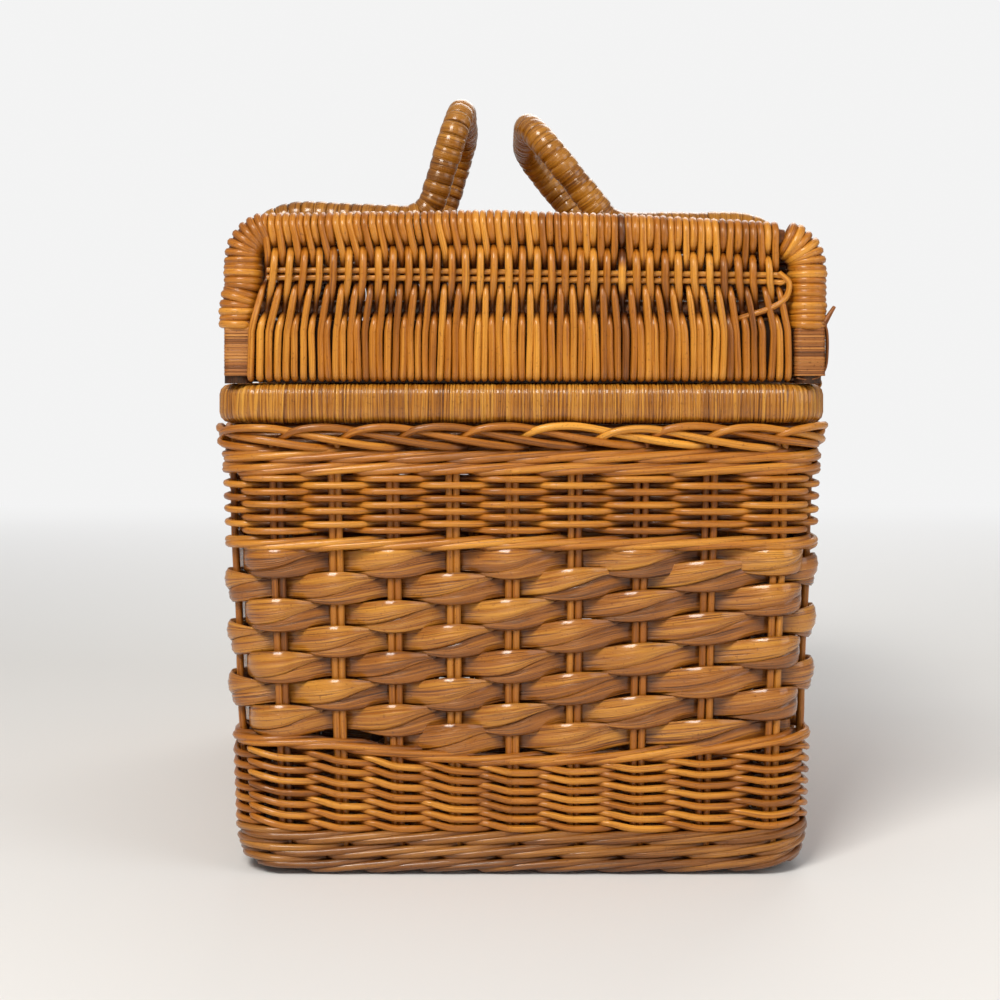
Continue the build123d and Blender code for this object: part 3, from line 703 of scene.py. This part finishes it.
endWall = dict(rodZ=242.7, rodDepth=6.7, hook=5.25, overRadius=1.44, underRadius=1.36, backThicker=0.14,
               overEnd=214.5, underEnd=224.5, brokenAt=40.2, brokenSpan=1.4,
               pastLeg=1.9)
hookPath = [(endWall["rodDepth"] - endWall["hook"] * math.cos(a),
             endWall["rodZ"] + endWall["hook"] * math.sin(a))
            for a in np.radians([235, 200, 160, 120, 80, 40, 8])]  # over the frame's rod
overPath = [(1.5, 240.0), (3.4, 237.4), (6.2, 236.0), (3.8, 234.7), (1.0, 232.8), (-0.2, 229.0), (-0.1, 224.6),
            (0.9, 221.2), (2.7, 217.6), (4.8, 214.0), (6.0, 211.5), (3.6, 210.0), (1.6, 207.2)]
underPath = [(1.4, 239.0), (1.6, 235.0), (2.2, 231.8), (4.6, 229.0), (6.0, 225.5), (4.9, 222.2), (2.2, 220.2),
             (1.3, 215.0), (1.1, 208.8)]
footPath = [(1.5, 202.0), (1.5, 195.0), (1.7, 189.6), (2.6, 187.2), (5.2, 186.6), (9.0, 186.6)]


def lidEndStrands(end):
    lines = []
    reach = lid["halfX"] - lid["rod"] - 0.3
    count = int(round(2 * reach / lid["strandPitch"]))
    for i in range(count):
        x = -reach + 2 * reach * (i + 0.5) / count
        over = (i % 2 == 1) == (end < 0)
        path = hookPath + (overPath if over else underPath) + footPath
        depth, height = curveThrough(path, 52 if end < 0 else 36).T
        lean = 0.35 * rng.standard_normal()
        wobble = lean * np.sin((height - 185) / 60 * math.pi) + 0.12 * np.sin(height / 5 + i)
        across = x + wobble + lidSpread(x, height)
        forward = endWall["pastLeg"] * np.interp(x, [-100, -88], [1, 0]) * smooth(216, 206, height)
        y = -end * (depth - forward - lid["halfY"])
        points = np.stack([across, y, height + lidSag(x, height)], axis=1)
        radius = endWall["overRadius"] if over else endWall["underRadius"]
        radius = radius + 0.06 * rng.standard_normal() + (endWall["backThicker"] if end > 0 else 0.0)
        narrowAt = endWall["overEnd"] if over else endWall["underEnd"]
        radius = radius - 0.45 * np.exp(-((height - narrowAt) / 5.0) ** 2)
        tone = float(np.clip(0.55 + 0.17 * rng.standard_normal(), 0, 1))
        shade = 1 - 0.9 * smooth(1.6, 4.6, depth) * (height < 239.5)
        if end < 0 and abs(x - endWall["brokenAt"]) < endWall["brokenSpan"]:  # broken at the middle rods: drawn whole, darkest in tone outside 220 to 229 mm, with painted shade just below and above that piece
            tone = np.interp(height, [218, 220, 229, 231], [0.0, 1.0, 1.0, 0.0])
            shade = shade * np.interp(height, [209, 211, 219, 221, 229, 231], [1, 0.4, 0.4, 1, 1, 0.4])
        lines.append(strand(points, radius, tone, shade))
    return lines


middleRods = dict(inset=2.7, radius=1.12, strayRadius=1.15, barInset=8.3, barRadius=3.2, barReach=98.5)
rodLoop = [(-96, 0, 227.5), (-40, 0, 227.2), (10, 0, 226.5), (60, 0, 226.0), (90, 0, 225.7),
           (96.4, 0.8, 225.5), (99.0, 1.6, 224.3), (97.4, 0.6, 222.8), (90, 0, 223.2), (50, 0, 223.5),
           (0, 0, 223.9), (-50, 0, 224.5), (-96, 0, 224.7)]  # across, outwards, up
strayEnd = [(96.5, 1.4, 226.4), (100.2, 2.2, 222.6), (99.0, 2.2, 217.0), (94.0, 1.6, 213.4), (86, 1.0, 210.6),
            (79, -2.0, 208.4)]


def outwards(points, end, y):
    return [(across, y + end * out, up) for across, out, up in points]


for end, label in ((-1, "front"), (1, "back")):
    settle(sweepStrands("endStrands_" + label, lidEndStrands(end), "honeyRod"), "lid", ["lid_weave_" + label])
    y = end * (lid["halfY"] - middleRods["inset"])
    barY = end * (lid["halfY"] - middleRods["barInset"])
    # a bar in dark tone and painted shade behind the end strands, so the gaps between them read as shade
    bar = [(share * middleRods["barReach"], barY, up) for share, up in ((-1, 213.0), (0, 213.2), (1, 213.0))]
    lines = [
        strand(curveThrough(outwards(rodLoop, end, y), 90), middleRods["radius"], 0.7),
        strand(curveThrough(outwards(strayEnd, end, y), 26), middleRods["strayRadius"], 0.55),
        strand(bar, middleRods["barRadius"], 0.1, 0.3),
    ]
    settle(sweepStrands("middleRods_" + label, lines, "honeyRod"), "lid", ["lid_mid_rods_" + label])


# rods bound with turns of cane

turnLook = dict(sides=20, profileSides=8, smallest=0.965, largest=1.035, darkest=0.32, palest=0.72)


def buildBindingTree():
    sizes = ("Turn pitch", "Core radius", "Half width", "Half thickness", "Slant", "Unevenness")
    inputs = {"Path": "Geometry", **{label: "Float" for label in sizes}, "Seed": "Int", "Finish": "Material"}
    tree, given = newTree("boundRod", inputs, "Binding")

    def seeded(low, high, **settings):  # sockets 0 and 1 are a vector's range, 2 and 3 a number's
        first = 0 if settings else 2
        return addNode(tree, "FunctionNodeRandomValue", {first: low, first + 1: high, "Seed": given["Seed"]},
                       **settings).outputs[0 if settings else 1]

    line = addNode(tree, "GeometryNodeMeshToCurve", {"Mesh": given["Path"]})
    even = addNode(tree, "GeometryNodeResampleCurve", {"Curve": line, "Length": given["Turn pitch"]},
                   mode="LENGTH")
    turn = addNode(tree, "GeometryNodeCurvePrimitiveCircle",
                   {"Resolution": turnLook["sides"], "Radius": given["Core radius"]})
    size = addNode(tree, "ShaderNodeCombineXYZ", {0: given["Half thickness"], 1: given["Half width"]})
    flat = addNode(tree, "GeometryNodeTransform",
                   {"Geometry": roundProfile(tree, turnLook["profileSides"]), "Scale": size})
    sweep = addNode(tree, "GeometryNodeCurveToMesh", {"Curve": storeRun(tree, turn), "Profile Curve": flat})
    tangent = addNode(tree, "GeometryNodeInputTangent")
    facing = addNode(tree, "FunctionNodeAlignRotationToVector", {"Vector": tangent}, axis="Z")
    scale = seeded(turnLook["smallest"], turnLook["largest"])
    turns = addNode(tree, "GeometryNodeInstanceOnPoints",
                    {"Points": even, "Instance": sweep, "Rotation": facing, "Scale": scale})
    less = addNode(tree, "ShaderNodeMath", {0: given["Unevenness"], 1: -1.0}, operation="MULTIPLY")
    wobble = seeded(less, given["Unevenness"], data_type="FLOAT_VECTOR")
    slant = addNode(tree, "ShaderNodeCombineXYZ", {0: given["Slant"]})
    lean = addNode(tree, "ShaderNodeVectorMath", {0: slant, 1: wobble})
    turns = addNode(tree, "GeometryNodeRotateInstances", {"Instances": turns, "Rotation": lean})
    shade = seeded(turnLook["darkest"], turnLook["palest"])
    for label, value in (("tone", shade), ("grain", shade), ("lift", 1.0)):
        turns = store(tree, turns, label, value, domain="INSTANCE")
    endTree(tree, turns, given["Finish"], "Binding")
    return tree


bindingTree = buildBindingTree()


def bindRod(name, path, finish, turn, seed):
    mesh = bpy.data.meshes.new(name + "_path")
    mesh.from_pydata((np.asarray(path, float) * mm).tolist(), [(i, i + 1) for i in range(len(path) - 1)], [])
    return evaluated(name, mesh, bindingTree, {
        "Turn pitch": turn["pitch"] * mm, "Core radius": turn["core"] * mm,
        "Half width": turn["halfWidth"] * mm, "Half thickness": turn["halfThickness"] * mm,
        "Slant": turn["slant"], "Unevenness": turn["uneven"], "Seed": seed, "Finish": materials[finish]})


def joined(name, pieces):
    for other in bpy.context.scene.objects:
        other.select_set(other in pieces)
    bpy.context.view_layer.objects.active = pieces[0]
    bpy.ops.object.join()
    pieces[0].name = name
    pieces[0].data.name = name
    return pieces[0]


arch = dict(core=6.15, halfWidth=1.62, halfThickness=1.4, pitch=2.35, slant=0.0, uneven=0.05, centre=0.9,
            tuckedIn=1.9, rightOut=0.8, topCore=4.1)
leg = dict(halfWide=5.8, halfDeep=5.9, edge=2.4, strip=1.2, ridge=0.1, rightOut=2.1, footRadius=5.3,
           footTop=3.4, strandLift=1.3, strandEnds=(106.0, 95.0))
loosePeel = (  # across and up, how deep it is, and half its thickness at each end
    dict(deep=4.0, ends=(0.35, 0.3), route=((113.4, 208.4), (114.9, 204.0), (115.0, 196.0), (114.2, 190.4),
                                            (111.6, 187.2), (107.4, 186.2), (103.4, 186.9))),
    dict(deep=2.4, ends=(1.3, 0.5), route=((112.4, 205.4), (114.2, 208.0), (115.8, 210.6), (117.8, 213.8))),
)


def archCorner(side, y):  # one rounded corner of an end frame, its foot and its peeled leg
    x, z, _ = archFrame(np.linspace(22, 80, 60), lid["rod"] / 2)
    cut = x > lid["halfX"] - lid["rod"] - 1.0
    tuck = arch["tuckedIn"] * smooth(214, 222, z[cut]) if side < 0 else 0.0
    acrossX = side * (x[cut] + arch["centre"] - tuck) + (arch["rightOut"] if side > 0 else 0.0)
    path = np.stack([acrossX, 0 * acrossX + y, z[cut] + lidSag(acrossX, z[cut])], axis=1)
    turns = bindRod("cornerTurns", path, "honeyRod", arch, 5 + side)
    # the core under the turns is drawn dark: low tone and painted shade
    core = [strand(path[::3], arch["core"], 0.3, 0.35)]
    # a dark block at the foot of the leg, in the darkest tone and painted shade, where the leg's cut end is in
    # shade
    foot = [(acrossX[0], y, lid["bottom"] - 0.3), (acrossX[0], y, lid["bottom"] + leg["footTop"])]
    foot = sweepStrands("legFootShade", [strand(foot, leg["footRadius"], 0.0, 0.05)], "legPeel", 12)
    # a dark strand under the lid's edge by the leg, in the darkest tone and painted shade, where the gap is in
    # shade
    under = [(side * across, y, lid["bottom"] + leg["strandLift"]) for across in leg["strandEnds"]]
    core.append(strand(under, 1.0, 0.0, 0.1))
    core = sweepStrands("cornerCore", core, "honeyRod", 12)
    middle = side * (lid["halfX"] - lid["rod"] / 2) + (leg["rightOut"] if side > 0 else 0.0)

    def legPlace(distance, out, up):
        return np.stack([middle + out, 0 * out + y + up, 0 * out + distance], axis=1)

    grid, tones, lifts = boundBar((lid["bottom"] + 2.6, lid["railTop"] - 0.4), legPlace,
                                  roundedSection(leg["halfWide"], leg["halfDeep"], leg["edge"]), leg["strip"],
                                  leg["ridge"])
    peel = dict(grid=grid, closed=False, tone=tones, lift=lifts, bound=True)
    return [turns, foot, core, ribbonMesh("legPeel", [peel], "legPeel")]


def looseStrip(peel, y):
    route = curveThrough([(across, 0.0, up) for across, up in peel["route"]], 22)
    normal = np.gradient(route, axis=0)[:, [2, 1, 0]] * np.array([1, 0, -1])
    half = np.linspace(*peel["ends"], 22)
    normal = normal / np.linalg.norm(normal, axis=1)[:, None] * half[:, None]
    reach = np.array([0, peel["deep"] / 2, 0])
    grid = np.stack([route + normal - reach, route + normal + reach, route - normal + reach,
                     route - normal - reach], axis=1) + np.array([0, y - 3.0, 0])
    # the loose strip is dark in tone and takes painted shade
    return dict(grid=grid[:, ::-1], closed=False, tone=np.full(len(route), 0.15), lift=0.7,
                width=[0, 1, 1.1, 0.1])


for end, label in ((-1, "front"), (1, "back")):
    y = end * (lid["halfY"] - lid["rod"] / 2)
    parts = archCorner(-1, y) + archCorner(1, y)
    x, z, _ = archFrame(np.linspace(60, 240, 40), lid["rod"] / 2)
    flat = abs(x) < lid["halfX"] - lid["rod"]
    core = np.stack([x[flat], 0 * x[flat] + y, z[flat] + lidSag(x[flat], z[flat])], axis=1)
    # the top core under the turns is drawn dark: low tone and painted shade
    parts.append(sweepStrands("topCore", [strand(core, arch["topCore"], 0.2, 0.3)], "honeyRod", 12))
    if end < 0:  # a loose strip and a splinter at the right leg
        parts.append(ribbonMesh("loosePeel", [looseStrip(peel, y) for peel in loosePeel], "legPeel"))
    settle(joined("archBinding_" + label, parts), "lid", ["lid_frame_" + label])


# lid top and sides

top = dict(ribs=6, ribRadius=1.3, ribInset=6.4, ribGap=1.4, ribSpan=156.95, over=3.6, under=9.1, radius=1.46,
           halfLength=156.6, endDepth=5.0)
railStart = lid["railTop"] - lid["bottom"] + 1.0
archLength = archFrame(0.0, 0)[2]
count = int(round((archLength - 2 * railStart) / lid["strandPitch"]))
ribPitch = 2 * top["ribSpan"] / (top["ribs"] + 1)
lines = []
for k in range(count):
    distance = railStart + (archLength - 2 * railStart) * (k + 0.5) / count
    y = np.linspace(-top["halfLength"], top["halfLength"], 54)
    wave = np.cos(np.pi * (y + top["ribSpan"]) / ribPitch) * (1 if k % 2 else -1)
    inset = (top["over"] + top["under"]) / 2 - (top["under"] - top["over"]) / 2 * wave
    edge = smooth(top["halfLength"] - 10, top["halfLength"], abs(y))
    inset = inset * (1 - edge) + top["endDepth"] * edge
    x, z, _ = archFrame(distance + 0.25 * np.sin(y / 31 + k), inset)
    shade = 0.65 + 0.35 * smooth(-0.7, 0.2, wave)
    lines.append(strand(np.stack([x, y, z + lidSag(x, z)], axis=1), top["radius"], None, shade))
settle(sweepStrands("lidTopStrands", lines, "honeyRod", 6), "lid", ["lid_top_weave"])
x, z, _ = archFrame(np.linspace(railStart - 4, archLength - railStart + 4, 70), top["ribInset"])
lines = []
for k in range(top["ribs"]):
    for side in (-1, 1):
        y = -top["ribSpan"] + (k + 1) * ribPitch + side * top["ribGap"]
        # the ribs lie under the top strands and take painted shade
        lines.append(strand(np.stack([x, 0 * x + y, z + lidSag(x, z)], axis=1), top["ribRadius"], None, 0.8))
settle(sweepStrands("lidRibRods", lines, "stakeRod"), "lid", ["lid_ribs"])

rail = dict(halfLength=156.7, halfThick=2.35, halfHigh=10.3, edge=1.6, inset=0.2, strand=1.36)
section = roundedSection(rail["halfThick"], rail["halfHigh"], rail["edge"], 2)
for side, label in ((-1, "left"), (1, "right")):
    lines = []
    count = int(2 * rail["halfLength"] / lid["strandPitch"])
    middleX = side * (lid["halfX"] - lid["railThick"] / 2 - rail["inset"])
    for k in range(count):
        y = rail["halfLength"] * ((2 * k + 1) / count - 1) + 0.1 * rng.standard_normal()
        points = np.stack([middleX + section[:, 0], 0 * section[:, 0] + y,
                           (lid["bottom"] + lid["railTop"]) / 2 + section[:, 1]], axis=1)
        lines.append(strand(points, rail["strand"], None, 1.0, closed=True))
    settle(sweepStrands("railTurns_" + label, lines, "honeyRod", 6), "lid", ["lid_rail_" + label])


# carrying handles

handle = dict(rod=12.4, span=115.0, pivotX=118.1, pivotZ=222.0, heelX=40.0, heelZ=254.5, stub=8.5,
              radii=(24.0, 13.0, 20.0), stubRadius=2.7, coreRadius=5.35, ballRadius=6.05, core=5.45,
              halfWidth=3.1, halfThickness=0.75, slant=0.14, uneven=0.045)
handles = (dict(side=-1, label="left", grip=304.8, angle=16.5, restZ=254.5, lift=4.5, pitch=5.2),
           dict(side=1, label="right", grip=298.0, angle=39.5, restZ=253.1, lift=3.0, pitch=4.472))


def roundedPath(corners, radii, steps=9):
    points = [np.array(corners[0], float)]
    for before, corner, after, radius in zip(corners, corners[1:], corners[2:], radii):
        corner = np.array(corner, float)
        back = np.array(before, float) - corner
        on = np.array(after, float) - corner
        back, on = back / np.linalg.norm(back), on / np.linalg.norm(on)
        turn = math.pi - math.acos(np.clip(back @ on, -1, 1))
        setback = radius * math.tan(turn / 2)
        middle = corner + (back + on) / np.linalg.norm(back + on) * radius / math.cos(turn / 2)
        arm = corner + back * setback - middle
        across = corner + on * setback - middle
        for k in range(steps + 1):
            f = k / steps
            spoke = math.sin((1 - f) * turn) * arm + math.sin(f * turn) * across
            points.append(middle + spoke / math.sin(turn))
    points.append(np.array(corners[-1], float))
    return np.array(points)


def handlePath(shape):
    side, restZ, half = shape["side"], shape["restZ"], handle["span"] / 2
    gripX = handle["heelX"] - (shape["grip"] - handle["heelZ"]) * math.tan(math.radians(shape["angle"]))
    bends = [(handle["pivotX"], handle["pivotZ"]), (handle["pivotX"], restZ + shape["lift"]),
             (handle["heelX"], restZ), (gripX, shape["grip"])]
    corners = [(side * x, -half, z) for x, z in bends] + [(side * x, half, z) for x, z in reversed(bends)]
    path = roundedPath(corners, handle["radii"] + handle["radii"][::-1])
    rest = smooth(228, 250, path[:, 2]) * smooth(285, 262, path[:, 2])
    path[:, 2] += lidSag(path[:, 0], 250) * rest * 0.8  # it lies on the lid where the lid sags
    return path


def handleFoot(x, z, half, s):  # the stub that turns in its loop, and the ball that closes the rod's end
    tip = s * (half + handle["rod"] / 2 + handle["stub"])
    # the stub and the ball take a little painted shade
    stub = strand([(x, s * (half - 5.5), z), (x, tip - s * 0.6, z), (x, tip, z)],
                  [handle["stubRadius"], handle["stubRadius"], handle["stubRadius"] - 0.8], 0.5, 0.8)
    ball = [(x, s * half + d, z) for d in np.linspace(-6.0, 6.0, 11)]
    size = [math.sqrt(max(0.3, handle["ballRadius"] ** 2 - d ** 2)) for d in np.linspace(-6.0, 6.0, 11)]
    return [stub, strand(ball, size, 0.6, 0.9)]


for shape in handles:
    path = handlePath(shape)
    # the handle's core under the turns is drawn dark: low tone and painted shade
    parts = [bindRod("handleTurns", path, "handleCane", handle | shape, 31 + shape["side"]),
             sweepStrands("handleCore", [strand(path, handle["coreRadius"], 0.3, 0.3)], "handleCane", 16)]
    ends = []
    for s in (-1, 1):
        ends += handleFoot(shape["side"] * handle["pivotX"], handle["pivotZ"], handle["span"] / 2, s)
    parts.append(sweepStrands("handleFeet", ends, "handleCane", 16))
    node = "handle_" + shape["label"]
    settle(joined("handleBinding_" + shape["label"], parts), node, [node])


# ties and hinge


def eyeTurns(x, z, radius, tail, ys, thick, tone):
    lines = []
    for y in ys:
        begin = math.radians(205 if x > 0 else 335)
        sweep = np.linspace(0, 330, 22) * (-1 if x > 0 else 1)
        around = [(x + radius * math.cos(a), y, z + radius * math.sin(a)) for a in begin + np.radians(sweep)]
        path = [(tail[0], y, tail[1] + 3.0)] + around + [(tail[0], y + 0.3, tail[1])]
        lines.append(strand(curveThrough(path, 44), thick, tone + 0.3 * (rng.random() - 0.5)))
    return lines


tie = dict(radius=4.6, thick=1.15, turns=3, pitch=2.15, clear=1.7, tailX=111.4, tailZ=216.0, tone=0.55)
lines = []
for side in (-1, 1):
    for s in (-1, 1):
        ys = [s * (handle["span"] / 2 + handle["rod"] / 2 + tie["clear"] + k * tie["pitch"])
              for k in range(tie["turns"])]
        lines += eyeTurns(side * handle["pivotX"], handle["pivotZ"], tie["radius"],
                          (side * tie["tailX"], tie["tailZ"]), ys, tie["thick"], tie["tone"])
settle(sweepStrands("handleTies", lines, "handleCane"), "lid", ["handle_loops"])

hinge = dict(x=119.4, z=184.6, halfLength=115.4, coreRadius=2.35, loops=(-85.0, 85.0), loopPitch=2.2,
             loopRadius=3.75, loopThick=0.95, tail=(114.2, 177.0), lugs=(-72.5, 0.0, 72.5), lugPitch=2.0,
             lugThick=0.9, bound=((-115.4, -90.6), (-79.2, 79.2), (90.6, 115.4)))
hingeTurns = dict(pitch=2.4, core=2.05, halfWidth=1.25, halfThickness=0.55, slant=0.06, uneven=0.03)
lugPath = [(112.2, 189.6), (115.5, 189.4), (119.4, 188.0), (122.4, 185.6), (121.8, 182.4), (118.8, 181.4),
           (116.4, 183.4), (114.6, 185.9), (112.2, 186.2)]  # from the lid round the rod and back


def fourAbout(middle, pitch):
    return [middle + (k - 1.5) * pitch for k in range(4)]


lines = []
for middle in hinge["loops"]:
    lines += eyeTurns(hinge["x"], hinge["z"], hinge["loopRadius"], hinge["tail"],
                      fourAbout(middle, hinge["loopPitch"]), hinge["loopThick"], 0.6)
settle(sweepStrands("hingeTies", lines, "rimPeel"), "basket", ["hinge_loops"])

rodPath = [(hinge["x"], y, hinge["z"]) for y in np.linspace(-hinge["halfLength"], hinge["halfLength"], 30)]
# the hinge core takes a little painted shade
parts = [sweepStrands("hingeCore", [strand(rodPath, hinge["coreRadius"], 0.4, 0.9)], "handleCane", 12)]
for ends in hinge["bound"]:
    path = [(hinge["x"], y, hinge["z"]) for y in ends]
    parts.append(bindRod("hingeTurns", path, "handleCane", hingeTurns, 7))
settle(joined("hingeRodBinding", parts), "lid", ["hinge_rod"])

lines = []
for middle in hinge["lugs"]:
    for y in fourAbout(middle, hinge["lugPitch"]):
        lines.append(strand(curveThrough([(across, y, up) for across, up in lugPath], 26), hinge["lugThick"]))
settle(sweepStrands("hingeLashing", lines, "rimPeel", 6), "lid", ["hinge_lugs"])


# what stays as it is in the frame gets its finish

for node, finish in (("base_sticks", "stakeRod"), ("lid_crossbar_front", "legPeel"),
                     ("lid_crossbar_back", "legPeel")):
    shown = frame["nodes"][node]
    shown.data.materials.clear()
    shown.data.materials.append(materials[finish])


# floor, light and camera

backdrop = dict(front=-4.0, bend=1.6, radius=1.2, top=5.0, halfWidth=6, drop=0.0004, tint=(0.78, 0.77, 0.75, 1),
                rough=0.8, fadeFrom=0.35, fadeTo=1.7, white=(0.9, 0.9, 0.9, 1))


def paleFinish():
    material = bpy.data.materials.new("paleFloor")
    material.use_nodes = True
    tree = material.node_tree
    ground = tree.nodes["Principled BSDF"]
    ground.inputs["Base Color"].default_value = backdrop["tint"]
    ground.inputs["Roughness"].default_value = backdrop["rough"]
    place = addNode(tree, "ShaderNodeTexCoord").outputs["Object"]
    apart = addNode(tree, "ShaderNodeSeparateXYZ", {0: place})
    fade = addNode(tree, "ShaderNodeMapRange", {  # seen straight on, the far backdrop fades to white
        "Value": apart.outputs["Y"], "From Min": backdrop["fadeFrom"], "From Max": backdrop["fadeTo"]})
    direct = addNode(tree, "ShaderNodeLightPath").outputs["Is Camera Ray"]
    seen = addNode(tree, "ShaderNodeMath", {0: fade, 1: direct}, operation="MULTIPLY")
    white = addNode(tree, "ShaderNodeEmission", {"Color": backdrop["white"]})
    blend = addNode(tree, "ShaderNodeMixShader", {"Fac": seen, 1: ground, 2: white})
    tree.links.new(blend.outputs["Shader"], tree.nodes["Material Output"].inputs["Surface"])
    return material


floorMesh = bpy.data.meshes.new("floor")
bend = [(backdrop["bend"] + backdrop["radius"] * math.sin(a), backdrop["radius"] * (1 - math.cos(a)))
        for a in np.radians(np.arange(10, 91, 10))]
sweep = [(backdrop["front"], 0.0), (backdrop["bend"], 0.0), *bend,
         (backdrop["bend"] + backdrop["radius"], backdrop["top"])]
corners = [(side * backdrop["halfWidth"], y, z - backdrop["drop"]) for y, z in sweep for side in (-1, 1)]
floorMesh.from_pydata(corners, [], [(2 * i, 2 * i + 1, 2 * i + 3, 2 * i + 2) for i in range(len(sweep) - 1)])
floorMesh.polygons.foreach_set("use_smooth", [True] * len(floorMesh.polygons))
floorMesh.materials.append(paleFinish())
floor = addObject("floor", floorMesh)

world = bpy.data.worlds.new("studio")
bpy.context.scene.world = world
world.use_nodes = True
world.node_tree.nodes["Background"].inputs["Color"].default_value = (0.95, 0.96, 1.0, 1)
world.node_tree.nodes["Background"].inputs["Strength"].default_value = 0.32

lamps = dict(
    key=dict(place=(-0.45, -1.2, 1.2), size=0.6, power=23, colour=(1.0, 0.97, 0.92)),
    fill=dict(place=(1.3, -0.9, 0.7), size=1.0, power=7, colour=(0.97, 0.98, 1.0)),
    rear=dict(place=(0.3, 1.4, 1.3), size=1.2, power=12, colour=(1.0, 0.98, 0.95)),
)
aimHeight = 0.15
for name, lamp in lamps.items():
    data = bpy.data.lights.new(name, "AREA")
    data.energy = lamp["power"]
    data.size = lamp["size"]
    data.color = lamp["colour"]
    light = addObject(name, data)
    light.location = lamp["place"]
    aim = Vector((0, 0, aimHeight)) - Vector(lamp["place"])
    light.rotation_euler = aim.to_track_quat("-Z", "Y").to_euler()

shot = dict(place=(-0.00825, -0.8705, 0.188), lens=67.2, sensor=36.0, shiftY=-0.125)
camera = addObject("camera", bpy.data.cameras.new("camera"))
camera.location = shot["place"]
camera.rotation_euler = (math.radians(90), 0, 0)
camera.data.lens = shot["lens"]
camera.data.sensor_width = shot["sensor"]
camera.data.shift_y = shot["shiftY"]
camera.data.clip_start = 0.05
bpy.context.scene.camera = camera
bpy.context.scene.view_settings.view_transform = "Standard"
print("studio ready")
